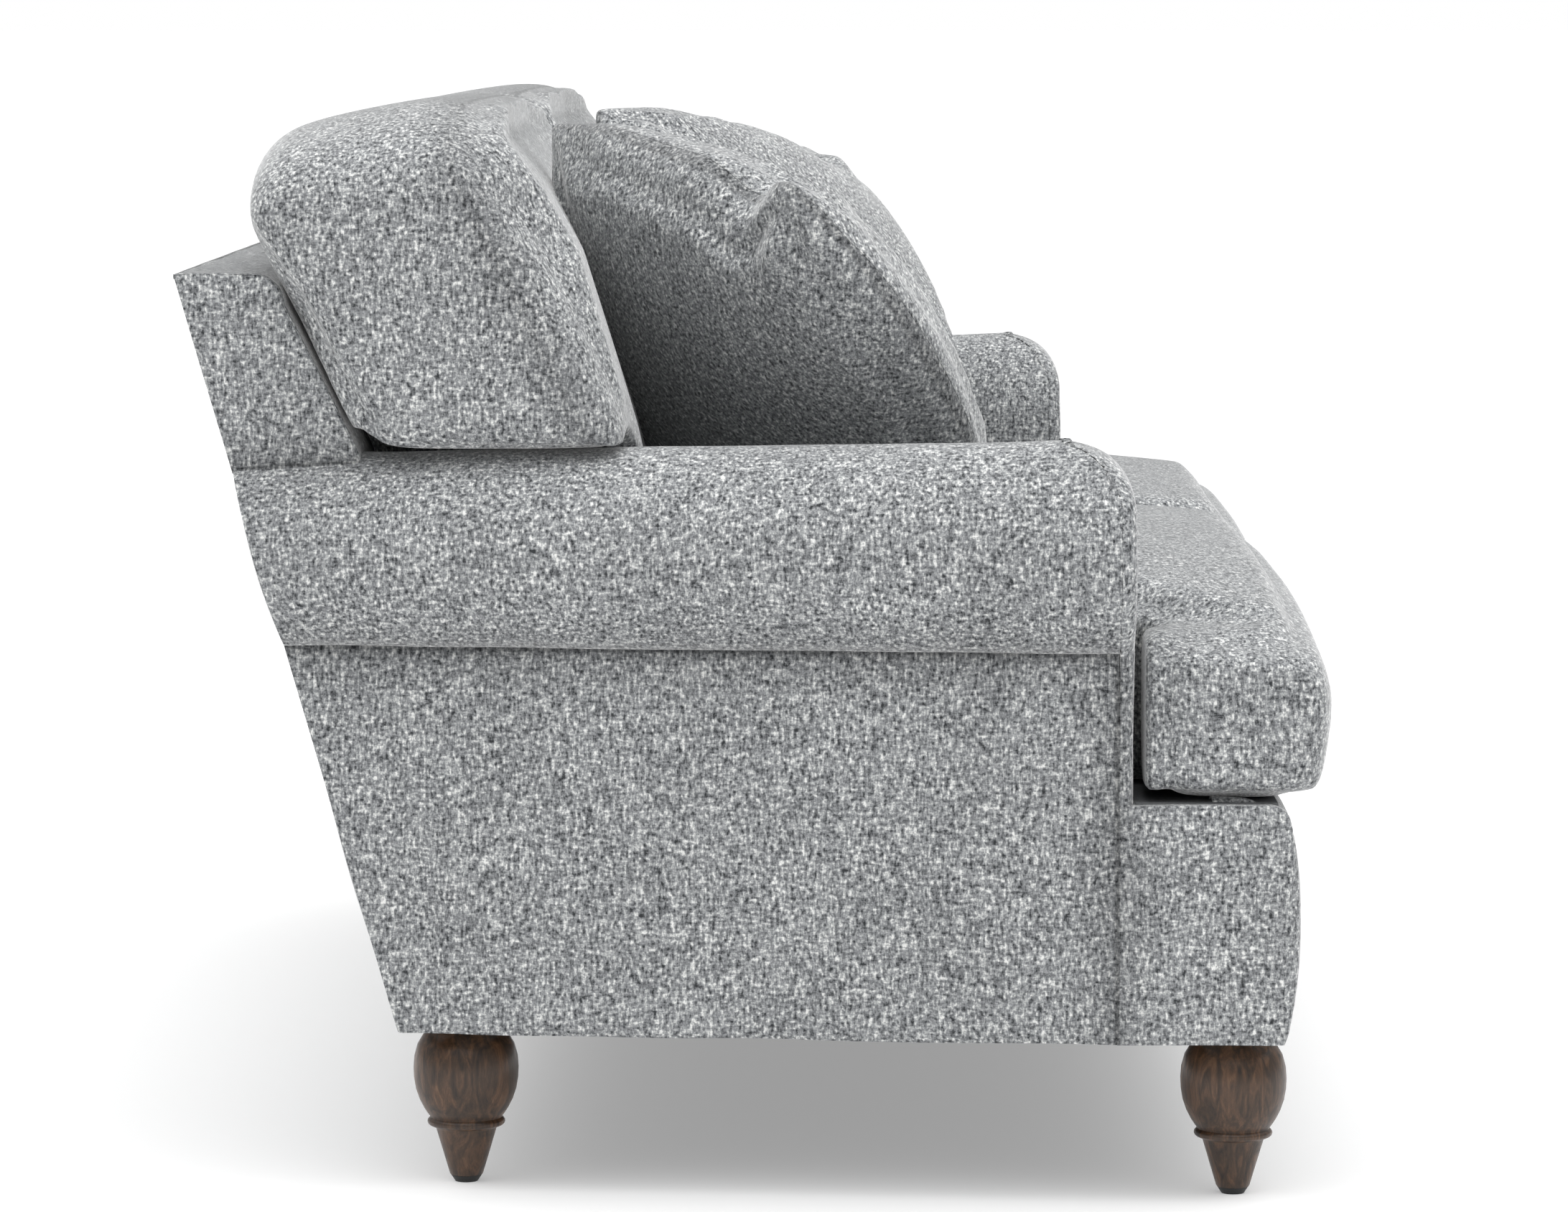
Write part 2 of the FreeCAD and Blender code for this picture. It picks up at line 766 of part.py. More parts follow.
# Back upholstery: padding over the frame, one cover inside and over the top, one outside, and side panels
def back_outline(inset, foot):
    """The back seen from the side, with its rounded front top edge."""
    top = size("back_height") - inset
    edge = size("back_top_round")
    face = inner(top - edge, inset)
    return [
        (inner(foot, inset), foot),
        (inner(break_height, inset), break_height),
        *eased((face, top), (face, top - edge), (face + edge, top)),
        (rear(top, inset), top),
        (rear(foot, inset), foot),
    ]


def back_block(name, inset, half, foot):
    return board(name, SIDE, back_outline(inset, foot), 2 * half, -half)


both_arms = [arm_outer, mirror("arm_outer_mirror", arm_outer)]
back_full = cut("back_full", back_block("back_cover_block", 0.0, BACK_HALF, ARM_FOOT), *both_arms)
back_soft = back_block("back_padding_block", COVER, BACK_HALF - COVER, ARM_FOOT)
frame_path = [
    (BACK_FACE, 0.0),
    (BACK_FACE, foot_height),
    (post_face(break_height), break_height),
    (post_face(top_rail_top), top_rail_top),
    (FAR, top_rail_top),
    (FAR, 0.0),
]
back_frame = board("back_frame_block", SIDE, frame_path, 2 * top_rail_half, -top_rail_half)
back_padding = cut("back_padding", back_soft, back_frame, *both_arms)
finish("back_padding", back_padding)

outside_path = [
    (rear(size("body_bottom")), size("body_bottom")),
    (rear(size("back_height")), size("back_height")),
    (rear(size("back_height"), COVER), size("back_height")),
    (rear(size("body_bottom"), COVER), size("body_bottom")),
]
outside_back = board("outside_back_cover", SIDE, outside_path, 2 * BACK_HALF, -BACK_HALF)
finish("outside_back_cover", outside_back)

side_slab = board("side_slab", SIDE, [(0, 0), (FAR, 0), (FAR, FAR), (0, FAR)], FAR, BACK_HALF - COVER)
side_panel = common("back_side_panel", back_full, side_slab)
pair("back_side_panel", cut("back_side_panel_trim", side_panel, outside_back))

back_inside = cut(
    "inside_back_cover", back_full, back_soft, side_slab, mirror("side_slab_mirror", side_slab),
    behind("inside_behind", COVER),
)
finish("inside_back_cover", back_inside)


# Front border: a bowed pad on the front rail under a cover that returns along both sides
def border_block(name, inset, foot, back):
    """The front of the base, bowed from bottom to top and rounded in plan, drawn in by an inset."""
    low, high = size("body_bottom"), size("deck_top")
    front = -HALF_DEPTH + size("border_set_back") + inset
    top = high - inset
    edge = size("border_round")
    bow = size("border_bow")
    half = FRONT_PANEL - inset
    profile = [
        (back, 0.0),
        (front + bow, 0.0),
        (front + bow, low),
        ((front, (low + high) / 2), (front + bow, top - edge)),
        *eased((front + bow, top), (front + bow, top - edge), (front + bow + edge, top))[1:],
        (back, top),
    ]
    corner = size("border_corner")
    plan = [
        (-half, back),
        *eased((-half, front), (-half, front + corner), (-half + corner, front)),
        *eased((half, front), (half - corner, front), (half, front + corner)),
        (half, back),
    ]
    bowed = board(name + "_profile", SIDE, profile, 2 * half, -half)
    rounded = board(name + "_plan", PLAN, plan, high - foot, foot)
    return common(name, bowed, rounded)


border_outer = border_block("border_outer", 0.0, size("body_bottom"), ARM_FRONT)
border_soft = border_block("border_soft", COVER, FLOOR, SIDE_FRONT)
border_hollow = border_block("border_hollow", COVER, 0.0, ARM_FRONT + RAIL)
deck_room = board("deck_room", PLAN, deck_path(), size("deck_top") - LONG_STRAP_FOOT, LONG_STRAP_FOOT)
border_padding = cut("front_border_padding", border_soft, front_rail, deck_room)
finish("front_border_padding", border_padding)
border_cover = cut("front_border_cover", border_outer, border_hollow, deck_room)
finish("front_border_cover", border_cover)


# Dust cover under the frame, cut out round the leg plates
dust_margin = size("dust_cover_margin")
dust_back = BACK_FACE + RAIL - dust_margin
dust_path = [
    (-plan_rail(SIDE_FRONT) + dust_margin, SIDE_FRONT - dust_margin),
    (plan_rail(SIDE_FRONT) - dust_margin, SIDE_FRONT - dust_margin),
    (plan_rail(ARM_FRONT) - dust_margin, ARM_FRONT),
    (plan_rail(dust_back) - dust_margin, dust_back),
    (-plan_rail(dust_back) + dust_margin, dust_back),
    (-plan_rail(ARM_FRONT) + dust_margin, ARM_FRONT),
]
dust_foot = FLOOR - size("deck_cloth")
dust_sheet = board("dust_sheet", PLAN, dust_path, size("deck_cloth"), dust_foot, "sizes.deck_cloth")
plate_rooms = []
for tag, at in (("front", front_leg_at), ("rear", rear_leg_at)):
    room = doc.addObject("Part::Box", f"{tag}_plate_room")
    room.setExpression("Length", "sizes.plate_side + 2 * sizes.plate_clearance")
    room.setExpression("Width", "sizes.plate_side + 2 * sizes.plate_clearance")
    room.Height = FAR
    half = size("plate_side") / 2 + size("plate_clearance")
    room.Placement.Base = Vector(at.x - half, at.y - half, 0)
    plate_rooms += [room, mirror(f"{tag}_plate_room_mirror", room)]
finish("dust_cover", cut("dust_cover", dust_sheet, *plate_rooms))


# T seat cushions: crowned, softly bowed in front, with an ear in front of the arm, round a cut foam core
SEAT_FOOT = size("deck_top") + size("rest_gap")
SEAT_REAR = inner(SEAT_FOOT) - size("rest_gap") * 2
CENTRE = size("centre_gap")


def seat_outline(draw_in, lift):
    """Seat cushion seen from the side, drawn in at its ends and lifted at its crown."""
    front = -HALF_DEPTH + draw_in
    back = SEAT_REAR - draw_in
    foot = SEAT_FOOT + draw_in * 0.6
    edge = size("seat_edge_height") - draw_in + lift * 0.3
    turn = size("cushion_round")
    lip = (front + size("seat_front_bow"), edge - turn)
    toe = (front + size("seat_front_bow"), foot + turn)
    return [
        *eased((back, foot), (back - turn, foot), (back, foot + turn)),
        *eased((back, edge), (back, edge - turn), (back - turn, edge)),
        (((front + back) / 2, edge + lift), (front + size("seat_front_round"), edge)),
        *eased((front, edge), (front + size("seat_front_round"), edge), lip)[1:],
        ((front, (foot + edge) / 2), toe),
        *eased((front, foot), toe, (front + turn, foot))[1:],
    ]


def cushion_loft(name, outline, inner_x, outer_x, crown):
    """Lofts a cushion across the sofa: its ends are drawn in, and its crown is highest in the middle."""
    half = ((0.0, 1.0, 0.35), (0.012, 0.35, 0.55), (0.04, 0.06, 0.75), (0.25, 0.0, 0.95), (0.5, 0.0, 1.0))
    far_half = [(1 - along, draw_in, rise) for along, draw_in, rise in reversed(half[:-1])]
    sections = []
    for number, (along, draw_in, rise) in enumerate([*half, *far_half]):
        path = outline(size("cushion_draw_in") * draw_in, crown * rise)
        place = inner_x + (outer_x - inner_x) * along
        sections.append(section(f"{name}_section{number}", SIDE, place, path))
    return loft(name, sections)


def space(name, low, high):
    form = doc.addObject("Part::Box", name)
    form.Length, form.Width, form.Height = high.x - low.x, high.y - low.y, high.z - low.z
    form.Placement.Base = low
    return form


SEAT_SIDE = ARM_INNER - size("side_gap")
SEAT_EAR = FRONT_PANEL - size("seat_ear_set_back")
EAR_REAR = ARM_FRONT - size("facing_depth") - size("seat_ear_gap")
WRAP = size("core_wrap")
seat_form = cushion_loft("seat_form", seat_outline, CENTRE, SEAT_EAR, size("seat_crown"))
seat_notch = space("seat_notch", Vector(SEAT_SIDE, EAR_REAR, 0), Vector(FAR, FAR, FAR))
seat_core_path = [
    (CENTRE + WRAP, -HALF_DEPTH + WRAP),
    (SEAT_EAR - WRAP, -HALF_DEPTH + WRAP),
    (SEAT_EAR - WRAP, EAR_REAR - WRAP),
    (SEAT_SIDE - WRAP, EAR_REAR - WRAP),
    (SEAT_SIDE - WRAP, SEAT_REAR - WRAP),
    (CENTRE + WRAP, SEAT_REAR - WRAP),
]
seat_core_foot = SEAT_FOOT + WRAP
seat_core_rise = size("seat_edge_height") - WRAP - seat_core_foot
seat_core = board("seat_cushion_core", PLAN, seat_core_path, seat_core_rise, seat_core_foot)
pair("seat_cushion_cover", cut("seat_cushion_cover", seat_form, seat_notch, seat_core))
pair("seat_cushion_core", seat_core)


# Back cushions: raked and crowned, with an ear that laps over the arm, round a foam core
def seat_top(depth):
    """Height of the seat cushion's crown at a depth."""
    front = -HALF_DEPTH + size("seat_front_round")
    back = SEAT_REAR - size("cushion_round")
    along = (2 * depth - front - back) / (back - front)
    return size("seat_edge_height") + size("seat_crown") * (1.3 - along**2)


def back_cushion_front(height):
    return inner(height) - size("back_cushion_depth")


TURN_ROUND = size("cushion_round")
resting_depth = back_cushion_front(size("seat_edge_height") + size("back_cushion_belly"))
BACK_FOOT = seat_top(resting_depth + TURN_ROUND / 3) + size("rest_gap")
SHOULDER = size("back_height") + size("back_cushion_shoulder")
CUSHION_TOP = size("back_height") + size("back_cushion_rise")


def back_cushion_outline(draw_in, lift):
    """Back cushion seen from the side: it leans on the inside back and stands above it."""
    foot = BACK_FOOT + draw_in
    top = CUSHION_TOP - draw_in + lift * 0.3
    belly = BACK_FOOT + size("back_cushion_belly")
    brow = CUSHION_TOP - TURN_ROUND - draw_in
    gap = size("back_cushion_gap") + draw_in
    fall = size("back_cushion_fall")
    rear_top = inner(SHOULDER) - gap
    rear_foot = inner(foot) - gap
    low = back_cushion_front(belly) + draw_in
    high = back_cushion_front(brow) + draw_in
    return [
        (rear_foot, foot + TURN_ROUND / 2),
        (inner(break_height) - gap, break_height),
        (rear_top, SHOULDER),
        ((rear_top - 0.3 * fall, top - 2 * fall), (rear_top - 1.8 * fall, top - fall)),
        ((rear_top - 4.8 * fall, top - 0.2 * fall), (rear_top - 7.6 * fall, top)),
        ((high + 0.4 * TURN_ROUND, top - TURN_ROUND / 3), (high, brow)),
        (((low + high - lift) / 2, (belly + brow) / 2), (low, belly)),
        ((low - TURN_ROUND / 2, foot + TURN_ROUND), (low + TURN_ROUND / 3, foot)),
        (rear_foot - TURN_ROUND, foot),
    ]


BACK_OUTER = BACK_HALF + size("back_cushion_ear")
ear_radius, ear_centre = roll(back_cushion_front(break_height))
EAR_FOOT = ear_centre.y + ear_radius + size("rest_gap")
back_form = cushion_loft("back_form", back_cushion_outline, CENTRE, BACK_OUTER, size("back_cushion_crown"))
back_notch = space("back_notch", Vector(SEAT_SIDE, -FAR, 0), Vector(FAR, FAR, EAR_FOOT))
core_foot = BACK_FOOT + 1.5 * WRAP
core_top = CUSHION_TOP - 2 * WRAP
back_core_path = [
    (back_cushion_front(core_foot) + 2 * WRAP, core_foot),
    (inner(core_foot) - 2 * WRAP, core_foot),
    (inner(size("back_height")) - 2 * WRAP, size("back_height") + WRAP),
    (back_cushion_front(core_top) + 2 * WRAP, core_top),
]
back_core_run = SEAT_SIDE - CENTRE - 2 * WRAP
back_core = board("back_cushion_core", SIDE, back_core_path, back_core_run, CENTRE + WRAP)
pair("back_cushion_cover", cut("back_cushion_cover", back_form, back_notch, back_core))
pair("back_cushion_core", back_core)


# Throw pillows: knife edged, drawn in between their corners, standing in the corners of the seat
def pillow_loft(name, side, thickness):
    """Lens sections from one edge to the other: wide and thin at the ends, drawn in and thick between."""
    near_half = ((-1.0, 0.03, 1.0), (-0.86, 0.34, 0.955), (-0.55, 0.78, 0.92), (0.0, 1.0, 0.905))
    far_half = [(-along, swell, width) for along, swell, width in reversed(near_half[:-1])]
    sections = []
    for number, (along, swell, width) in enumerate([*near_half, *far_half]):
        half, thick = side / 2 * width, thickness / 2 * swell
        sketch = doc.addObject("Sketcher::SketchObject", f"{name}_section{number}")
        sketch.Placement = Placement(Vector(0, 0, along * side / 2), Rotation())
        draw(sketch, [(-half, 0.0), ((0.0, -thick), (half, 0.0)), ((0.0, thick), (-half, 0.0))])
        sections.append(sketch)
    return loft(name, sections, ruled=False)


pillow_turn = (
    Rotation(Vector(0, 0, 1), -size("pillow_turn"))
    .multiply(Rotation(Vector(1, 0, 0), -size("pillow_lean")))
    .multiply(Rotation(Vector(0, 1, 0), size("pillow_roll")))
)
seat_crown_top = size("seat_edge_height") + 1.3 * size("seat_crown")
pillow_centre = Vector(
    ARM_INNER - size("pillow_from_arm"),
    inner(break_height) - size("pillow_from_back"),
    seat_crown_top + size("pillow_rise"),
)
pillow_at = Placement(pillow_centre, pillow_turn)
pillow_form = pillow_loft("pillow_form", size("pillow_side"), size("pillow_thickness"))
fill_wrap = size("pillow_fill_wrap")
fill_side = size("pillow_side") - 4 * fill_wrap
pillow_fill = pillow_loft("pillow_fill", fill_side, size("pillow_thickness") - 2 * fill_wrap)
pillow_cover = cut("throw_pillow_cover", pillow_form, pillow_fill)
for label, form in (("throw_pillow_cover", pillow_cover), ("throw_pillow_insert", pillow_fill)):
    placed = doc.addObject("Part::Compound", label + "_placed")
    placed.Links = [form]
    placed.Placement = pillow_at
    pair(label, placed)

doc.recompute()

for item in doc.Objects:
    if "Invalid" in item.State or "Error" in item.State:
        raise RuntimeError(f"{item.Name} failed: {item.State}")

os.makedirs("parts", exist_ok=True)
for item in finished:
    shape = item.Shape
    if shape.isNull() or not shape.isValid() or not shape.Solids:
        raise RuntimeError(f"{item.Label} has no valid solid")
    shape.exportStep(os.path.join("parts", item.Label + ".step"))
print(len(finished), "sub-parts")
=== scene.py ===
import math

import bmesh
import bpy
import numpy as np
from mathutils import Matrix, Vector


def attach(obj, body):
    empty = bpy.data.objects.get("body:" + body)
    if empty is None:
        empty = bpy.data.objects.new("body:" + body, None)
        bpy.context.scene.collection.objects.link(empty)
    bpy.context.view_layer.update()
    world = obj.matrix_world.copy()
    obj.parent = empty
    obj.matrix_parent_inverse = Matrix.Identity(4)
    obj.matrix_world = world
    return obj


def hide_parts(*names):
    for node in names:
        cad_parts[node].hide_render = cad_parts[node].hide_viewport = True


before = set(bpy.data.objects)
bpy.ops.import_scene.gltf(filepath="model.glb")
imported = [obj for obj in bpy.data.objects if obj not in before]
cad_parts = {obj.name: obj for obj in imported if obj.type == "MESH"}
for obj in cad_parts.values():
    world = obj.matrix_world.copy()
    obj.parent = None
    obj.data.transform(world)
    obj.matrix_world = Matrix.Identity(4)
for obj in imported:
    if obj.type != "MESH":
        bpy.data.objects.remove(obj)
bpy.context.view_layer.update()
scene = bpy.context.scene


# Camera: about 5.4 m from the near arm and 1 m up, looking along the sofa and a little down.
camera_place = (-6.453, -0.0777, 1.0267)
camera_pitch_down = math.radians(5.26)
camera_yaw = math.radians(0.532)
bpy.ops.object.select_all(action="DESELECT")
bpy.ops.object.camera_add(
    location=camera_place,
    rotation=(math.pi / 2 - camera_pitch_down, 0, camera_yaw - math.pi / 2),
)
camera = bpy.context.object
camera.data.sensor_width = 36
camera.data.lens = 144.45
camera.data.clip_end = 3000
scene.camera = camera


# Floor and light: a white studio floor without a wall, under a white sky and a broad soft box overhead, so
# that the shade gathers in the gaps between the cushions and in a soft pool under the sofa.
def linear(hex_colour):
    """An sRGB hex colour as a linear RGBA value."""
    channels = [int(hex_colour[i:i + 2], 16) / 255 for i in (1, 3, 5)]
    return tuple(c / 12.92 if c <= 0.04045 else ((c + 0.055) / 1.055) ** 2.4 for c in channels) + (1.0,)


def add_node(tree, kind, settings=None, links=None):
    """Adds a node, sets its sockets or properties, and links sockets, by name or by number."""
    node = tree.nodes.new(kind)
    for key, value in (settings or {}).items():
        if isinstance(key, int) or key in node.inputs:
            node.inputs[key].default_value = value
        else:
            setattr(node, key, value)
    for key, source in (links or {}).items():
        tree.links.new(source, node.inputs[key])
    return node


def start_material(name):
    """A new material with an empty node tree."""
    material = bpy.data.materials.new(name)
    material.use_nodes = True
    material.node_tree.nodes.clear()
    return material, material.node_tree


floor_side = 3000
scene.view_settings.view_transform = "Standard"
bpy.ops.mesh.primitive_plane_add(size=floor_side, location=(0, 0, 0))
floor = bpy.context.object
floor.name = "studio_floor"
floor_material, tree = start_material("white_studio_floor")
floor_shader = add_node(
    tree, "ShaderNodeBsdfPrincipled",
    {
        "Base Color": linear("#dadada"), "Roughness": 0.9, "Specular IOR Level": 0.1,
        "Emission Color": (1, 1, 1, 1), "Emission Strength": 0.30,
    },
)
add_node(tree, "ShaderNodeOutputMaterial", links={"Surface": floor_shader.outputs[0]})
floor.data.materials.append(floor_material)
lamp_place = Vector((-1.2, -0.3, 4.5))
lamp_target = Vector((-0.3, 0, 0.3))
bpy.ops.object.light_add(type="AREA", location=lamp_place)
lamp = bpy.context.object
lamp.name = "overhead_soft_box"
lamp.data.shape = "RECTANGLE"
lamp.data.size = 4.0
lamp.data.size_y = 3.0
lamp.data.energy = 75
lamp.rotation_euler = (lamp_target - lamp_place).to_track_quat("-Z", "Y").to_euler()
world = bpy.data.worlds.new("studio_white")
scene.world = world
world.use_nodes = True
sky = world.node_tree
upward = add_node(
    sky, "ShaderNodeSeparateXYZ", links={0: add_node(sky, "ShaderNodeTexCoord").outputs["Generated"]}
).outputs["Z"]
glow = add_node(sky, "ShaderNodeValToRGB", links={0: upward})
bands = glow.color_ramp.elements
bands[0].position, bands[0].color = 0.02, (1.0, 1.0, 1.0, 1)
bands[1].position, bands[1].color = 1.0, (1.7, 1.7, 1.7, 1)
for rise, light in ((0.06, 0.43), (0.45, 0.47), (0.72, 1.6)):
    bands.new(rise).color = (light, light, light, 1)
sky.links.new(glow.outputs[0], sky.nodes["Background"].inputs["Color"])


# Arm roll covers: heathered tweed, pulled up over the inside of the arm, over the roll and down to a
# tacked edge under its overhang. The roll is fuller in front than behind, and the outer face leans in.
arm_front, arm_rear = -0.318, 0.4555
arm_inner = 0.867
front_half, back_half = 1.020, 0.950
roll_radius, roll_loss = 0.099, 0.0105
roll_overhang = 0.045
roll_underside = 0.485
deck_height = 0.3525
body_rear, rear_slope = 0.508, 0.28864
back_top = 0.811
cover_gap = 0.001
roll_end_depth = 0.43
cloth_thickness = 0.003
no_seam = 0.08


def part_way(value, start, end):
    """How far a value has come from start to end, held between 0 and 1."""
    return np.clip((value - start) / (end - start), 0, 1)


def taper(depth):
    """0 at the arm's front and 1 at its rear."""
    return np.maximum((depth - arm_front) / (arm_rear - arm_front), 0)


def panel_half(depth):
    """Half width at the outer arm panel."""
    return front_half - taper(depth) * (front_half - back_half)


def roll_at(depth):
    """Radius of the roll and its centre, across and up."""
    radius = roll_radius - taper(depth) * roll_loss
    reach = radius - roll_overhang
    return radius, panel_half(depth) - reach, roll_underside + np.sqrt(radius**2 - reach**2)


def rear_face(height):
    """Depth of the raked outside back."""
    return body_rear - (back_top - height) * rear_slope


def bent_sheet(name, columns, rows, place):
    """A flat grid of cloth, bent so that each of its points goes where place(u, v) says."""
    bpy.ops.object.select_all(action="DESELECT")
    bpy.ops.mesh.primitive_grid_add(x_subdivisions=columns, y_subdivisions=rows, size=2)
    sheet = bpy.context.object
    sheet.name = name
    points = np.empty(len(sheet.data.vertices) * 3)
    sheet.data.vertices.foreach_get("co", points)
    u, v = (points.reshape(-1, 3)[:, :2].T + 1) / 2
    placed = np.stack(np.broadcast_arrays(*place(u, v)), axis=1)
    sheet.data.vertices.foreach_set("co", placed.ravel())
    sheet.data.update()
    return sheet


def points_of(piece):
    """A mesh's points, as rows of x, y and z."""
    points = np.empty(len(piece.data.vertices) * 3)
    piece.data.vertices.foreach_get("co", points)
    return points.reshape(-1, 3)


def normals_of(piece):
    """A mesh's outward directions at its points."""
    normals = np.empty(len(piece.data.vertices) * 3)
    piece.data.vertex_normals.foreach_get("vector", normals)
    return normals.reshape(-1, 3)


def move_points(piece, points):
    """Puts a mesh's points in new places."""
    piece.data.vertices.foreach_set("co", np.ascontiguousarray(points).ravel())
    piece.data.update()


def ripple(points, pitch, seed):
    """Smooth unevenness of stuffed cloth, from -1 to 1, with bumps about a pitch apart."""
    chance = np.random.default_rng(seed)
    total = np.zeros(len(points))
    for _ in range(9):
        direction = chance.normal(size=3)
        direction *= 2 * math.pi / pitch / np.linalg.norm(direction) * chance.uniform(0.6, 1.5)
        total += np.sin(points @ direction + chance.uniform(0, 2 * math.pi))
    return total / 4


def face_outward(sheet, hint):
    """Turns an open sheet's faces so that, taken together, they point along the hint."""
    total = Vector((0, 0, 0))
    for polygon in sheet.data.polygons:
        total += polygon.normal * polygon.area
    if total.dot(Vector(hint)) < 0:
        sheet.data.flip_normals()


def apply_all(piece):
    """Applies a piece's modifiers, in their order."""
    bpy.ops.object.select_all(action="DESELECT")
    piece.select_set(True)
    bpy.context.view_layer.objects.active = piece
    for modifier in list(piece.modifiers):
        bpy.ops.object.modifier_apply(modifier=modifier.name)


def mark_seams(piece, distances):
    """Stores how far each point is from its nearest seam, from which the cloth's material draws a dark seam
    line and a band of painted shade beside it.
    """
    attribute = piece.data.attributes.new("seam_distance", "FLOAT", "POINT")
    attribute.data.foreach_set("value", np.clip(distances, 0, no_seam).astype(np.float32))


def finish_cloth(piece, hint, node, seams):
    """Gives a sheet of the body's upholstery its unevenness, thickness, seams with painted shade beside them,
    finish and body.
    """
    unevenness, pitch, seed = 0.0009, 0.16, 7
    face_outward(piece, hint)
    points = points_of(piece)
    mark_seams(piece, seams(points))
    move_points(piece, points + normals_of(piece) * (ripple(points, pitch, seed) * unevenness)[:, None])
    wall = piece.modifiers.new("cloth", "SOLIDIFY")
    wall.thickness = cloth_thickness
    wall.offset = -1
    apply_all(piece)
    piece.data.materials.clear()
    piece.data.materials.append(sofa_tweed)
    bpy.ops.object.shade_smooth_by_angle(angle=math.radians(50))
    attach(piece, "root")
    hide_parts(node)


# The tweed is woven from slubby charcoal, mid grey and near-white yarns. It gives the eye a salt-and-pepper
# grain about 3 mm across with short upright and level slubs, and pale nap on faces seen at a low angle.
def tweed(name):
    """The sofa's cloth, with a dark seam line and a band of painted shade along the seams that its mesh has
    stored.
    """
    slub_width, slub_length = 0.0030, 0.0080
    material, tree = start_material(name)
    place = add_node(tree, "ShaderNodeTexCoord").outputs["Object"]
    yarns = []
    for stretch in ((1, 1, 0), (1, 0, 1), (0, 1, 1)):
        scale = [1 / slub_width if across else 1 / slub_length for across in stretch]
        stretched = add_node(
            tree, "ShaderNodeVectorMath", {"operation": "MULTIPLY", 1: scale}, {0: place}
        ).outputs[0]
        yarns.append(
            add_node(
                tree, "ShaderNodeTexNoise", {"Scale": 1.0, "Detail": 2.5, "Roughness": 0.62},
                {"Vector": stretched},
            ).outputs["Fac"]
        )
    upright, level_x, level_y = yarns
    level = add_node(tree, "ShaderNodeMath", {"operation": "ADD"}, {0: level_x, 1: level_y}).outputs[0]
    weave = add_node(
        tree, "ShaderNodeMath", {"operation": "MULTIPLY_ADD", 1: 1.35}, {0: upright, 2: level}
    ).outputs[0]
    tone = add_node(
        tree, "ShaderNodeMapRange", {"From Min": 1.30, "From Max": 2.05, "To Min": 0.0, "To Max": 1.0},
        {"Value": weave},
    ).outputs[0]
    ramp = add_node(tree, "ShaderNodeValToRGB", links={0: tone})
    stops = ramp.color_ramp.elements
    stops[0].position, stops[0].color = 0.0, linear("#383a3c")
    stops[1].position, stops[1].color = 1.0, linear("#e8e8e6")
    for where, colour in ((0.30, "#737577"), (0.52, "#909294"), (0.72, "#b0b2b2")):
        stops.new(where).color = linear(colour)
    shade = add_node(
        tree, "ShaderNodeTexNoise", {"Scale": 9.0, "Detail": 3.0, "Roughness": 0.6}, {"Vector": place}
    ).outputs["Fac"]
    shade_range = add_node(
        tree, "ShaderNodeMapRange", {"From Min": 0.3, "From Max": 0.7, "To Min": 0.94, "To Max": 1.06},
        {"Value": shade},
    ).outputs[0]
    distance = add_node(tree, "ShaderNodeAttribute", {"attribute_name": "seam_distance"}).outputs["Fac"]

    def away_from_seam(nearest, farthest, least):
        """A value that grows from least to 1 between two distances from the seam."""
        return add_node(
            tree, "ShaderNodeMapRange",
            {
                "interpolation_type": "SMOOTHSTEP", "From Min": nearest, "From Max": farthest,
                "To Min": least, "To Max": 1.0,
            },
            {"Value": distance},
        ).outputs[0]

    # A dark seam line about 3 mm wide, and painted shade: the colour darkened to 0.8 within 45 mm of each
    # seam, standing in for the shade in the seam's hollow and under the roll's overhang.
    stitch_dark = away_from_seam(0.0004, 0.0034, 0.5)
    painted_seam_shade = away_from_seam(0.0, 0.045, 0.80)
    drawn = add_node(tree, "ShaderNodeMath", {"operation": "MULTIPLY"}, {0: painted_seam_shade, 1: stitch_dark}).outputs[0]
    toned = add_node(tree, "ShaderNodeMath", {"operation": "MULTIPLY"}, {0: shade_range, 1: drawn}).outputs[0]
    colour = add_node(
        tree, "ShaderNodeVectorMath", {"operation": "SCALE"}, {0: ramp.outputs[0], "Scale": toned}
    ).outputs[0]
    seam_bump = add_node(
        tree, "ShaderNodeBump", {"Strength": 0.7, "Distance": 0.004},
        {"Height": away_from_seam(0.0, 0.009, 0.0)},
    ).outputs[0]
    bump = add_node(
        tree, "ShaderNodeBump", {"Strength": 0.35, "Distance": 0.0012},
        {"Height": tone, "Normal": seam_bump},
    ).outputs[0]
    shader = add_node(
        tree, "ShaderNodeBsdfPrincipled",
        {"Roughness": 0.95, "Specular IOR Level": 0.12, "Sheen Weight": 0.75, "Sheen Roughness": 0.35},
        {"Base Color": colour, "Normal": bump},
    )
    add_node(tree, "ShaderNodeOutputMaterial", links={"Surface": shader.outputs[0]})
    return material


sofa_tweed = tweed("heathered_tweed")


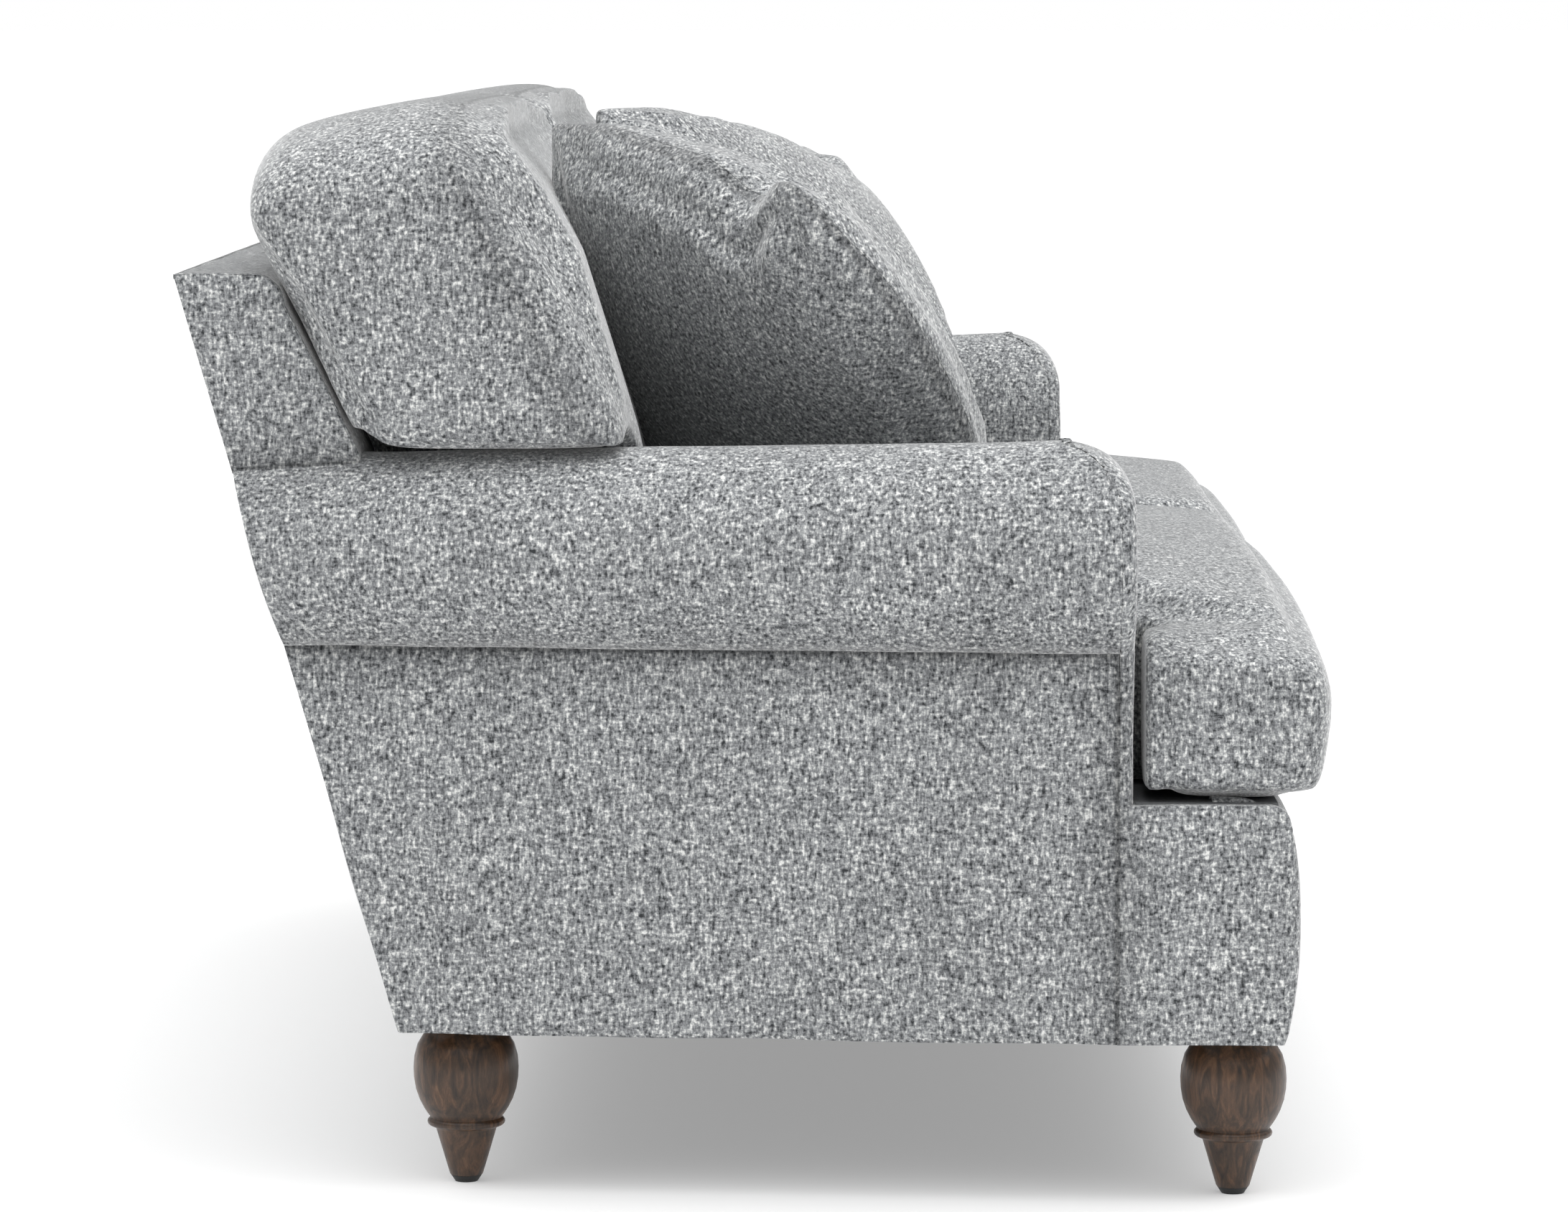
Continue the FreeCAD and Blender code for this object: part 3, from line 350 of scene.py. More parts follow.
def roll_section(turn, depth):
    """A point of the arm's cross-section, from the deck up the inside, over the roll and under it."""
    radius, centre, centre_height = roll_at(depth)
    inner_round = centre - arm_inner
    crown = centre_height + radius - inner_round
    wall, crest, under = 0.30, 0.44, 0.975
    lip_proud, tuck_in, tuck_up = 0.003, 0.016, 0.002
    quarter = part_way(turn, wall, crest) * math.pi / 2
    lowest = np.arccos(np.clip((panel_half(depth) - centre) / radius, -1, 1))
    sweep = math.pi / 2 - part_way(turn, crest, under) * (math.pi / 2 + lowest)
    tuck = part_way(turn, under, 1)
    across = np.where(
        turn < wall, arm_inner,
        np.where(turn < crest, centre - inner_round * np.cos(quarter), centre + radius * np.cos(sweep)),
    )
    across = across + lip_proud * part_way(turn, 0.90, 0.97) - tuck_in * tuck
    up = np.where(
        turn < wall, deck_height + (crown - deck_height) * part_way(turn, 0, wall),
        np.where(
            turn < crest, crown + inner_round * np.sin(quarter), centre_height + radius * np.sin(sweep)
        ),
    )
    return across, up + tuck_up * tuck


nose_foot, nose_height = 0.608, 0.0585
nose_depth, nose_length = 0.060, 0.11


def nose_back(height):
    """How far the padded arm front rounds back towards the top of the roll."""
    rise = np.clip((height - nose_foot) / nose_height, 0, 0.985)
    return nose_depth * (1 - np.sqrt(1 - rise**2))


def with_nose(depth, height):
    """A depth along the arm, moved back with its rounded front."""
    return depth + nose_back(height) * part_way(depth, arm_front + nose_length, arm_front)


for side, sign in (("left", 1), ("right", -1)):
    def roll_place(u, v, sign=sign):
        rear_end = rear_face(roll_section(u, roll_end_depth)[1]) - cover_gap
        depth = arm_front - 0.0005 + v * (rear_end - arm_front)
        across, up = roll_section(u, depth)
        return sign * across, with_nose(depth, up), up

    # Outside, the distance up from the roll's underside, so the cloth's material paints shade on the lower
    # side of the roll.
    def roll_seams(points):
        outside = np.abs(points[:, 0]) > 0.96
        return np.where(outside, np.maximum(points[:, 2] - roll_underside, 0) + 0.001, no_seam)

    roll_cover = bent_sheet(f"arm_roll_cloth_{side}", 150, 150, roll_place)
    finish_cloth(roll_cover, (sign * 0.3, 0, 1), f"arm_roll_cover_{side}", roll_seams)


# Outer arm panels: one flat width of tweed on each side, tacked up under the roll and turned under the
# frame, with a soft swell from the wadding behind it.
base_foot = 0.142
panel_swell = 0.0035
turned_share, turned_in = 0.04, 0.028
seam_pitch = 0.0068
cloth_clear = 0.0006
tacked_pull = 0.0012


def close_to(distance, width=0.005):
    """1 where a distance is 0, fading to 0 within about two widths."""
    return np.exp(-((distance / width) ** 2))


for side, sign in (("left", 1), ("right", -1)):
    def panel_place(u, v, sign=sign):
        height = base_foot + part_way(v, turned_share, 1) * (roll_underside + 0.003 - base_foot)
        rear_end = rear_face(height) - cover_gap
        depth = arm_front + u * (rear_end - arm_front)
        swell = (
            panel_swell * np.sin(math.pi * np.clip(u, 0, 1)) ** 0.5
            * np.sin(math.pi * np.clip(v, 0, 1)) ** 0.6
        )
        edges = tacked_pull * (close_to(height - base_foot) + close_to(rear_end - depth))
        turned = turned_in * (1 - part_way(v, 0, turned_share))
        return sign * (panel_half(depth) + cloth_clear + swell - edges - turned), depth, height

    # Seams at the front edge, and the distance down from the roll's underside, so the cloth's material paints
    # the shadow of the roll's overhang on the top of the panel.
    def panel_seams(points):
        from_front = points[:, 1] - arm_front
        front_seams = np.minimum(np.abs(from_front), np.abs(from_front - seam_pitch) + 0.0004)
        return np.minimum(front_seams, np.maximum(roll_underside - 0.001 - points[:, 2], 0))

    panel_cloth = bent_sheet(f"outer_panel_cloth_{side}", 150, 80, panel_place)
    finish_cloth(panel_cloth, (sign, 0, 0), f"arm_outer_panel_{side}", panel_seams)


# Padded arm fronts: a scroll-shaped pad of wadding under tweed on the front of each arm, sewn to the roll
# cover along its outline. It is full in the middle and rounds back towards the top of the roll.
facing_depth = 0.0145
facing_round = 0.014
facing_swell, swell_reach = 0.003, 0.06
rim_proud, rim_back = 0.0006, 0.0015
facing_foot = deck_height - 0.006


def scroll_edges(height):
    """Inner and outer edge of the arm's front outline at a height, and the outline's top."""
    radius, centre, centre_height = roll_at(np.float64(arm_front))
    radius = radius + rim_proud
    inner_round = centre - arm_inner + rim_proud
    crown = centre_height + radius - inner_round
    low = np.where(
        height < crown, arm_inner - rim_proud,
        centre - np.sqrt(np.maximum(inner_round**2 - (height - crown) ** 2, 0)),
    )
    high = np.where(
        height < roll_underside, front_half + rim_proud,
        centre + np.sqrt(np.maximum(radius**2 - (height - centre_height) ** 2, 0)),
    )
    return low, high, centre_height + radius


outline_heights = np.linspace(deck_height, 0.6675, 400)
edge_low, edge_high, scroll_top = scroll_edges(outline_heights)
outline = np.concatenate([np.stack([edge, outline_heights], 1) for edge in (edge_low, edge_high)])


def gap_to_outline(across, height):
    """How far each point of the pad is from the scroll's outline, worked out a block at a time."""
    gaps = np.full(len(across), 1.0)
    for start in range(0, len(outline), 100):
        block = outline[start:start + 100]
        gap = np.hypot(across[:, None] - block[None, :, 0], height[:, None] - block[None, :, 1])
        gaps = np.minimum(gaps, gap.min(axis=1))
    return gaps


for side, sign in (("left", 1), ("right", -1)):
    def facing_place(u, v, sign=sign):
        height = facing_foot + np.sin(v * math.pi / 2) * (scroll_top - 0.00005 - facing_foot)
        low, high, _ = scroll_edges(height)
        across = low + (0.5 - 0.5 * np.cos(u * math.pi)) * (high - low)
        gaps = gap_to_outline(across, height)
        rounding = np.sqrt(np.maximum(1 - (1 - part_way(gaps, 0, facing_round)) ** 2, 0))
        fullness = facing_swell * np.sqrt(part_way(gaps, 0, swell_reach))
        depth = arm_front + rim_back - (facing_depth - 0.0005) * rounding - fullness
        return sign * across, depth + nose_back(height), height

    def facing_seams(points):
        below_roll = (points[:, 2] < roll_underside) & (np.abs(points[:, 0]) > 1.0)
        return np.where(below_roll, np.abs(points[:, 1] - arm_front), no_seam)

    facing = bent_sheet(f"arm_front_pad_{side}", 60, 90, facing_place)
    finish_cloth(facing, (0, -1, 0), f"arm_front_facing_{side}", facing_seams)
    points = points_of(facing)
    points[:, 2] = np.minimum(points[:, 2], scroll_top + 0.0004)
    move_points(facing, points)


# Arm wadding: polyester wadding laid over the arm's frame, which fills out the roll and the inside of the
# arm under the cover, and is rounded back with it in front.
fillings = []
wadding_below = 0.004
for side in ("left", "right"):
    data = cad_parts[f"arm_padding_{side}"].data.copy()
    arm_wadding = bpy.data.objects.new(f"arm_wadding_{side}", data)
    scene.collection.objects.link(arm_wadding)
    points = points_of(arm_wadding)
    points[:, 1] = with_nose(points[:, 1], points[:, 2] + wadding_below)
    move_points(arm_wadding, points)
    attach(arm_wadding, "root")
    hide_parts(f"arm_padding_{side}")
    fillings.append((arm_wadding, "wadding"))


# Back: a cover pulled up the inside and over the top edge, side panels above the arms, and one width of
# tweed outside, which covers the rear ends of the rolls and is turned under the frame.
lumbar_height, lumbar_depth = 0.657, 0.34755
upper_slope, lower_slope = 0.503, 0.3134


def inside_face(height):
    """Depth of the inside back, which leans more above the small of the back."""
    slope = np.where(np.asarray(height) > lumbar_height, upper_slope, lower_slope)
    return lumbar_depth + (height - lumbar_height) * slope


top_round = 0.027
top_front = inside_face(back_top - top_round)
inside_foot, side_foot = 0.36, 0.636


def inside_back_place(u, v):
    """Up the inside back, over its rounded top edge and level to the rear."""
    across = (u * 2 - 1) * back_half
    rise, bend = 0.62, 0.74
    turn = part_way(v, rise, bend) * math.pi / 2
    height = np.where(
        v < rise, inside_foot + part_way(v, 0, rise) * (back_top - top_round - inside_foot),
        back_top - top_round * (1 - np.sin(turn)),
    )
    over = part_way(v, bend, 1) * (body_rear - top_front - top_round)
    depth = np.where(v < rise, inside_face(height), top_front + top_round * (1 - np.cos(turn)) + over)
    edge = tacked_pull * close_to(back_half - np.abs(across))
    rear_edge = 0.0010 * close_to(body_rear - depth)
    return across, depth + edge * (v < rise), height + cloth_clear - edge * (v >= rise) - rear_edge


def inside_back_seams(points):
    return np.maximum(back_half - np.abs(points[:, 0]), 0) + 0.0015


inside_back = bent_sheet("inside_back_cloth", 200, 90, inside_back_place)
finish_cloth(inside_back, (0, -0.6, 1), "inside_back_cover", inside_back_seams)

side_swell = 0.0015
for side, sign in (("left", 1), ("right", -1)):
    def side_place(u, v, sign=sign):
        height = side_foot + (0.5 - 0.5 * np.cos(v * math.pi)) * (back_top - side_foot)
        drop = part_way(height, back_top - top_round, back_top)
        rounded = top_front + top_round * (1 - np.sqrt(np.maximum(1 - drop**2, 0)))
        face = np.where(drop > 0, rounded, inside_face(height))
        depth = face + u * (rear_face(height) - face)
        gap = np.minimum(np.minimum(depth - face, rear_face(height) - depth), back_top - height)
        swell = side_swell * part_way(gap, 0, 0.04) - tacked_pull * close_to(gap, 0.004)
        return sign * (back_half + cloth_clear + swell), depth, height

    def side_seams(points):
        radius, centre, centre_height = roll_at(points[:, 1])
        meet = centre_height + np.sqrt(np.maximum(radius**2 - (back_half - centre) ** 2, 0))
        return np.abs(points[:, 2] - meet - 0.001) + 0.0004

    side_panel = bent_sheet(f"back_side_cloth_{side}", 60, 60, side_place)
    finish_cloth(side_panel, (sign, 0, 0), f"back_side_panel_{side}", side_seams)

outside_swell, outside_turned_in, outside_turned_share = 0.002, 0.03, 0.03


def outside_back_place(u, v):
    """From under the frame up the raked outside back, as wide as the panels, the rolls and the back are."""
    height = base_foot + part_way(v, outside_turned_share, 1) * (back_top - base_foot)
    turned = outside_turned_in * (1 - part_way(v, 0, outside_turned_share))
    depth = rear_face(height)
    radius, centre, centre_height = roll_at(np.minimum(depth, arm_rear))
    bulge = np.sqrt(np.maximum(radius**2 - (height - centre_height) ** 2, 0))
    half = np.where(
        height < roll_underside, panel_half(depth),
        np.where(height < centre_height + radius, np.maximum(centre + bulge, back_half), back_half),
    ) - cover_gap
    across = (u * 2 - 1) * half
    tight = 0.0015 * close_to(half - np.abs(across)) + tacked_pull * close_to(back_top - height)
    swell = outside_swell * np.sin(math.pi * np.clip(u, 0, 1)) ** 0.5
    return across, depth - tight + swell - turned, height


def outside_back_seams(points):
    gap = np.minimum(back_top - points[:, 2] + 0.001, np.abs(np.abs(points[:, 0]) - back_half) + 0.002)
    return np.maximum(gap, 0)


outside_back = bent_sheet("outside_back_cloth", 240, 110, outside_back_place)
finish_cloth(outside_back, (0, 1, 0), "outside_back_cover", outside_back_seams)


# Front border: a padded band bowed from bottom to top across the front rail, turned round both corners
# and sewn to the outer panels.
border_front, border_bow = -0.4785, 0.014
border_round, border_corner = 0.014, 0.025
side_round = 0.0035


def border_place(u, v):
    """Round both front corners from side to side, and from under the frame up over the rounded top."""
    side_run, corner_run = 0.085, 0.13
    left = np.where(u <= 0.5, u, 1 - u)
    sign = np.where(u <= 0.5, -1.0, 1.0)
    angle = part_way(left, side_run, corner_run) * math.pi / 2
    straight = front_half - border_corner
    half = straight + border_corner * np.cos(angle) - part_way(left, corner_run, 0.5) * straight
    side_length = border_front + border_corner - arm_front
    depth = arm_front + part_way(left, 0, side_run) * side_length - border_corner * np.sin(angle)
    out_x, out_y = np.cos(angle), np.sin(angle)
    foot, face, crest = 0.05, 0.78, 0.88
    turn = part_way(v, face, crest) * math.pi / 2
    height = np.where(
        v < face, base_foot + part_way(v, foot, face) * (deck_height - border_round - base_foot),
        deck_height - border_round * (1 - np.sin(turn)),
    )
    middle = (base_foot + deck_height) / 2
    from_middle = (height - middle) / (deck_height - middle)
    folded = (
        tacked_pull * close_to(height - base_foot) - 0.0008
        + 0.05 * part_way(v, crest, 1) + 0.03 * (1 - part_way(v, 0, foot))
    )
    draw_in = folded + (side_round + (border_round - side_round) * out_y**2) * (1 - np.cos(turn))
    bowed = border_front + border_bow * from_middle**2 + folded + border_round * (1 - np.cos(turn))
    softness = 0.0012
    bent = depth + out_y * draw_in
    bent = bent + softness * np.logaddexp(0, (bowed - bent) / softness) * (left > side_run * 0.75)
    return sign * (half - out_x * draw_in), bent, height


def border_seams(points):
    return np.abs(points[:, 1] - arm_front)


border = bent_sheet("front_border_cloth", 320, 60, border_place)
finish_cloth(border, (0, -1, 0.2), "front_border_cover", border_seams)


# T seat cushions: a sewn tweed case with wadding round cut foam, crowned on top, with an ear in front of
# the arm. Each case is stuffed by a short cloth simulation, and then settled back into its own room.
def case_from(node, name, voxel, shrink, softening):
    """The outer shell of a cushion's solid, evenly meshed and drawn in, ready to be stuffed."""
    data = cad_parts[node].data.copy()
    case = bpy.data.objects.new(name, data)
    scene.collection.objects.link(case)
    mesh = bmesh.new()
    mesh.from_mesh(data)
    bmesh.ops.remove_doubles(mesh, verts=mesh.verts, dist=1e-5)
    mesh.verts.ensure_lookup_table()
    unseen, shells = set(mesh.verts), []
    while unseen:
        stack, shell = [unseen.pop()], []
        while stack:
            vertex = stack.pop()
            shell.append(vertex)
            for edge in vertex.link_edges:
                other = edge.other_vert(vertex)
                if other in unseen:
                    unseen.remove(other)
                    stack.append(other)
        shells.append(shell)
    shells.sort(key=lambda shell: max(v.co.x for v in shell) - min(v.co.x for v in shell))
    for shell in shells[:-1]:
        bmesh.ops.delete(mesh, geom=shell, context="VERTS")
    mesh.to_mesh(data)
    mesh.free()
    even = case.modifiers.new("even_mesh", "REMESH")
    even.mode = "VOXEL"
    even.voxel_size = voxel
    apply_all(case)
    bpy.ops.object.mode_set(mode="EDIT")
    bpy.ops.mesh.select_all(action="SELECT")
    bpy.ops.mesh.vertices_smooth(factor=0.5, repeat=softening)
    bpy.ops.transform.shrink_fatten(value=-shrink)
    bpy.ops.object.mode_set(mode="OBJECT")
    return case


def stuff(case, pressure, most, rests=True):
    """Inflates a closed case as cloth: a point moves out by `most`, and in, sideways or below much less."""
    before, normals = points_of(case), normals_of(case)
    cloth = case.modifiers.new("stuffing", "CLOTH")
    cloth.settings.quality = 5
    cloth.settings.mass = 0.3
    cloth.settings.use_pressure = True
    cloth.settings.uniform_pressure_force = pressure
    cloth.settings.effector_weights.gravity = 0
    cloth.collision_settings.use_collision = False
    cloth.point_cache.frame_start, cloth.point_cache.frame_end = 1, 20
    for number in range(cloth.point_cache.frame_start, cloth.point_cache.frame_end + 1):
        scene.frame_set(number)
    apply_all(case)
    scene.frame_set(1)
    moved = points_of(case) - before
    outward = np.sum(moved * normals, axis=1, keepdims=True)
    sideways = moved - outward * normals
    reach = np.linalg.norm(sideways, axis=1, keepdims=True)
    sideways *= np.minimum(1, 0.3 * most / np.maximum(reach, 1e-9))
    most_out = np.where(rests & (normals[:, 2:] < -0.6), 0.001, most)
    move_points(case, before + np.clip(outward, -0.15 * most, most_out) * normals + sideways)


def fill_room(values, room):
    """Stretches a cushion along one axis so that it fills its room again."""
    low, high = room
    return low + (values - values.min()) * (high - low) / (values.max() - values.min())


def mirrored(piece):
    """The same piece for the right side of the sofa, with its own mesh."""
    data = piece.data.copy()
    other = bpy.data.objects.new(piece.name.replace("left", "right"), data)
    scene.collection.objects.link(other)
    move_points(other, points_of(other) * (-1, 1, 1))
    data.flip_normals()
    return other


def fill_case(case, cushion, inner, middle, scale, slot):
    """Puts a filling in both cases of a pair: the case's own shape, drawn in towards its middle."""
    filling = bpy.data.objects.new(f"{cushion}_filling_left", case.data.copy())
    scene.collection.objects.link(filling)
    move_points(filling, middle + (points_of(filling) - middle) * scale)
    for side, piece in (("left", filling), ("right", mirrored(filling))):
        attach(piece, f"{cushion}_{side}")
        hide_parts(f"{cushion}_{inner}_{side}")
        fillings.append((piece, slot))


def halve_mesh(piece):
    """Halves the mesh's edges and rounds it."""
    smooth = piece.modifiers.new("rounding", "SUBSURF")
    smooth.levels = smooth.render_levels = 1
    apply_all(piece)


def finish_pair(case, cushion):
    """Mirrors a finished case, and gives both cases their cloth and their bodies."""
    for side, piece in (("left", case), ("right", mirrored(case))):
        piece.data.materials.clear()
        piece.data.materials.append(sofa_tweed)
        piece.data.polygons.foreach_set("use_smooth", [True] * len(piece.data.polygons))
        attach(piece, f"{cushion}_{side}")
        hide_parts(f"{cushion}_cover_{side}")


seat_room = ((0.0009, 1.0125), (-0.5078, 0.2495), (0.3530, 0.5585))
end_drop, middle_drop, front_drop = 0.046, 0.008, 0.004
notch_x, notch_y = 0.8642, -0.3425
seat_middle = np.array((0.45, -0.40, 0.455))
seat_case = case_from(
    "seat_cushion_cover_left", "seat_case_left", voxel=0.011, shrink=0.008, softening=14
)
stuff(seat_case, pressure=4.0, most=0.022)
x, y, z = (fill_room(values, room) for values, room in zip(points_of(seat_case).T, seat_room))
crown_drop = end_drop * part_way(x, 0.48, 1.01) ** 2.2 + middle_drop * np.exp(-x / 0.05)
crown_drop += front_drop * part_way(y, -0.30, -0.50) ** 2
z -= crown_drop * part_way(z, 0.44, 0.55)
in_notch = (x > notch_x) & (y > notch_y)
to_side = in_notch & ((x - notch_x) < (y - notch_y))
x[to_side] = notch_x
y[in_notch & ~to_side] = notch_y
y = np.minimum(y, inside_face(z) - 0.0016)
move_points(seat_case, np.stack([x, y, z], axis=1))
fill_case(
    seat_case, "seat_cushion", "core", seat_middle, scale=(0.97, 0.96, 0.90), slot="foam"
)
halve_mesh(seat_case)
mark_seams(seat_case, np.full(len(seat_case.data.vertices), no_seam))
finish_pair(seat_case, "seat_cushion")


# Back cushions: sewn tweed cases round a foam core with plenty of wadding, which lean on the inside back
# and lap over the arms with an ear. They slump a little: full below, rounded and soft along the top, with
# a dent where the throw pillow presses.
across_room, up_room = (0.0009, 0.987), (0.5512, 0.9625)
ear_x, ear_foot = 0.8645, 0.6590
back_gap, front_swell = 0.006, 0.006
dome_drop, ear_press, pillow_dent, top_bulge = 0.045, 0.010, 0.013, 0.014
front_heights = (0.60, 0.67, 0.7335, 0.829, 0.8865, 0.931)
front_depths = (0.090, 0.1050, 0.1240, 0.1540, 0.1860, 0.2200)
cushion_depth, seam_inset = 0.254, 0.048
back_middle = np.array((0.45, 0.27, 0.80))
back_case = case_from(
    "back_cushion_cover_left", "back_case_left", voxel=0.010, shrink=0.008, softening=36
)
stuff(back_case, pressure=4.0, most=0.022)
x, y, z = points_of(back_case).T.copy()
x, z = fill_room(x, across_room), fill_room(z, up_room)
y = y - front_swell * part_way(inside_face(z) - y, 0.10, 0.25)
in_notch = (x > ear_x) & (z < ear_foot)
to_side = in_notch & ((x - ear_x) < (ear_foot - z))
x[to_side] = ear_x
z[in_notch & ~to_side] = ear_foot
hanging = z[x > 0.885].min() - ear_foot
settled = (hanging + ear_press * part_way(x, 0.92, 0.97)) * part_way(x, ear_x, ear_x + 0.03)
z -= settled * part_way(z, 0.78, 0.68)
z[x > ear_x] = np.maximum(z[x > ear_x], ear_foot)
z -= dome_drop * part_way(x, 0.80, 0.987) ** 2.2 * part_way(z, 0.70, 0.96)
front_line = np.interp(z, front_heights, front_depths)
front_line += pillow_dent * part_way(x, 0.05, 0.20) * part_way(x, 0.82, 0.62)
y = np.maximum(y, front_line)
y += top_bulge * part_way(y, 0.33, 0.39) * part_way(z, 0.80, 0.86)
y = np.minimum(y, inside_face(np.minimum(z, 0.90)) - back_gap)
move_points(back_case, np.stack([x, y, z], axis=1))
fill_case(
    back_case, "back_cushion", "core", back_middle, scale=(0.96, 0.88, 0.92), slot="foam"
)
halve_mesh(back_case)
x, y, z = points_of(back_case).T
from_seam = np.abs(y - inside_face(np.minimum(z, 0.90)) + cushion_depth - seam_inset)
mark_seams(back_case, from_seam + 0.0006)
finish_pair(back_case, "back_cushion")


# Throw pillows: two squares of tweed sewn edge to edge and stuffed, so that the sides draw in between the
# corners. They stand on the seat, turned into the corners, with a dip in the top edge by the front corner.
pillow_side = 0.452
pillow_full, pillow_layers = 0.074, 0.0045
left_bow, right_bow, foot_bow, top_crest, top_dip = 0.018, 0.045, 0.012, 0.010, 0.038
fold_depth, fold_reach = 0.0050, 0.075
pillow_corners = {
    (-1, 1): np.array((0.5284, 0.1993, 0.9405)),
    (1, 1): np.array((0.8627, -0.0325, 0.8910)),
    (-1, -1): np.array((0.3573, 0.0980, 0.5865)),
    (1, -1): np.array((0.6916, -0.2248, 0.5850)),
}
bpy.ops.object.select_all(action="DESELECT")
bpy.ops.mesh.primitive_grid_add(x_subdivisions=64, y_subdivisions=64, size=pillow_side)
pillow = bpy.context.object
pillow.name = "throw_pillow_case_left"
wall = pillow.modifiers.new("two_layers", "SOLIDIFY")
wall.thickness = pillow_layers
wall.offset = 0
apply_all(pillow)
flat = points_of(pillow)
rim_distance = pillow_side / 2 - np.abs(flat[:, :2]).max(axis=1)
mark_seams(pillow, np.where(rim_distance < 0.004, rim_distance + 0.0022, no_seam))
share = np.clip(1 - np.abs(flat[:, :2] / (pillow_side / 2)) ** 2, 0, 1)
flat[:, 2] += np.sign(flat[:, 2]) * pillow_full * (share[:, 0] * share[:, 1]) ** 0.50
a, b = (flat[:, :2] / (pillow_side / 2)).T
flat[:, 0] += (1 - b**2) * np.where(a > 0, right_bow * a * (1 + 0.5 * b), left_bow * a)
top_line = top_crest * close_to(a + 0.45, 0.35) - top_dip * close_to(a - 0.60, 0.19)
flat[:, 1] += np.where(b > 0, top_line * b**3, -foot_bow * (1 - a**2) * b)
flat[:, :2] *= 1 - 0.025 * (np.abs(a * b) ** 6)[:, None]
move_points(pillow, flat)
stuff(pillow, pressure=3.0, most=0.010, rests=False)
flat = points_of(pillow)
for end_a in (-1, 1):
    for end_b in (-1, 1):
        from_corner = pillow_side / 2 - flat[:, :2] * (end_a, end_b)
        radius = np.hypot(from_corner[:, 0], from_corner[:, 1])
        fold = np.sin(11 * np.arctan2(from_corner[:, 0], from_corner[:, 1]) + end_a + 2 * end_b)
        flat[:, 2] += fold_depth * fold * close_to(radius - fold_reach, 0.035) * np.sign(flat[:, 2])
a, b = (flat[:, :2] / (pillow_side / 2)).T
across = sum(end_a * corner for (end_a, _), corner in pillow_corners.items())
upward = sum(end_b * corner for (_, end_b), corner in pillow_corners.items())
outward = np.cross(across, upward)
place = flat[:, 2:] * outward / np.linalg.norm(outward)
for (end_a, end_b), corner in pillow_corners.items():
    place += ((1 + end_a * a) / 2 * (1 + end_b * b) / 2)[:, None] * corner
move_points(pillow, place)
bpy.ops.object.select_all(action="DESELECT")
bpy.context.view_layer.objects.active = pillow
pillow.select_set(True)
bpy.ops.object.mode_set(mode="EDIT")
bpy.ops.mesh.select_all(action="SELECT")
bpy.ops.mesh.normals_make_consistent(inside=False)
bpy.ops.object.mode_set(mode="OBJECT")
fill_case(
    pillow, "throw_pillow", "insert", place.mean(axis=0), scale=0.86, slot="feather_fill"
)
halve_mesh(pillow)
finish_pair(pillow, "throw_pillow")


# Legs: turned from solid walnut, a bulb over a small ring and a taper, stained dark and finished in satin
# lacquer, so the grain shows and a soft upright highlight runs down each side.
leg_profile = [
    (0.0280, 0.1410), (0.0372, 0.1340), (0.0432, 0.1240), (0.0462, 0.1130), (0.0469, 0.1030),
    (0.0465, 0.0940), (0.0448, 0.0840), (0.0416, 0.0745), (0.0378, 0.0670), (0.0342, 0.0615),
    (0.0326, 0.0595), (0.0322, 0.0582), (0.0334, 0.0570), (0.0345, 0.0556), (0.0347, 0.0540),
    (0.0341, 0.0524), (0.0326, 0.0511), (0.0300, 0.0500), (0.0279, 0.0492), (0.0270, 0.0480),
    (0.0240, 0.0380), (0.0206, 0.0265), (0.0172, 0.0150), (0.0148, 0.0070), (0.0138, 0.0060),
]
leg_places = {
    "front_leg_left": (0.955, -0.4235), "front_leg_right": (-0.955, -0.4235),
    "rear_leg_left": (0.9029, 0.2575), "rear_leg_right": (-0.9029, 0.2575),
}


def walnut(name):
    """Stained walnut with an upright grain, glossier where the grain is pale."""
    material, tree = start_material(name)
    place = add_node(tree, "ShaderNodeTexCoord").outputs["Object"]
    stretched = add_node(
        tree, "ShaderNodeVectorMath", {"operation": "MULTIPLY", 1: (90, 90, 14)}, {0: place}
    ).outputs[0]
    grain = add_node(
        tree, "ShaderNodeTexNoise", {"Scale": 1.0, "Detail": 6.0, "Roughness": 0.6, "Distortion": 1.6},
        {"Vector": stretched},
    ).outputs["Fac"]
    pores = add_node(
        tree, "ShaderNodeTexNoise", {"Scale": 9.0, "Detail": 3.0, "Roughness": 0.7}, {"Vector": stretched}
    ).outputs["Fac"]
    mixed = add_node(
        tree, "ShaderNodeMath", {"operation": "MULTIPLY_ADD", 1: 0.25}, {0: pores, 2: grain}
    ).outputs[0]
    ramp = add_node(tree, "ShaderNodeValToRGB", links={0: mixed})
    stops = ramp.color_ramp.elements
    stops[0].position, stops[0].color = 0.44, linear("#20150d")
    stops[1].position, stops[1].color = 0.86, linear("#6d5039")
    stops.new(0.60).color = linear("#3c2a1b")
    stops.new(0.72).color = linear("#533a27")
    rough = add_node(
        tree, "ShaderNodeMapRange", {"From Min": 0.3, "From Max": 0.8, "To Min": 0.48, "To Max": 0.36},
        {"Value": mixed},
    ).outputs[0]
    bump = add_node(
        tree, "ShaderNodeBump", {"Strength": 0.15, "Distance": 0.0004}, {"Height": mixed}
    ).outputs[0]
    shader = add_node(
        tree, "ShaderNodeBsdfPrincipled",
        {"IOR": 1.5, "Coat Weight": 0.12, "Coat Roughness": 0.22},
        {"Base Color": ramp.outputs[0], "Roughness": rough, "Normal": bump},
    )
    add_node(tree, "ShaderNodeOutputMaterial", links={"Surface": shader.outputs[0]})
    return material


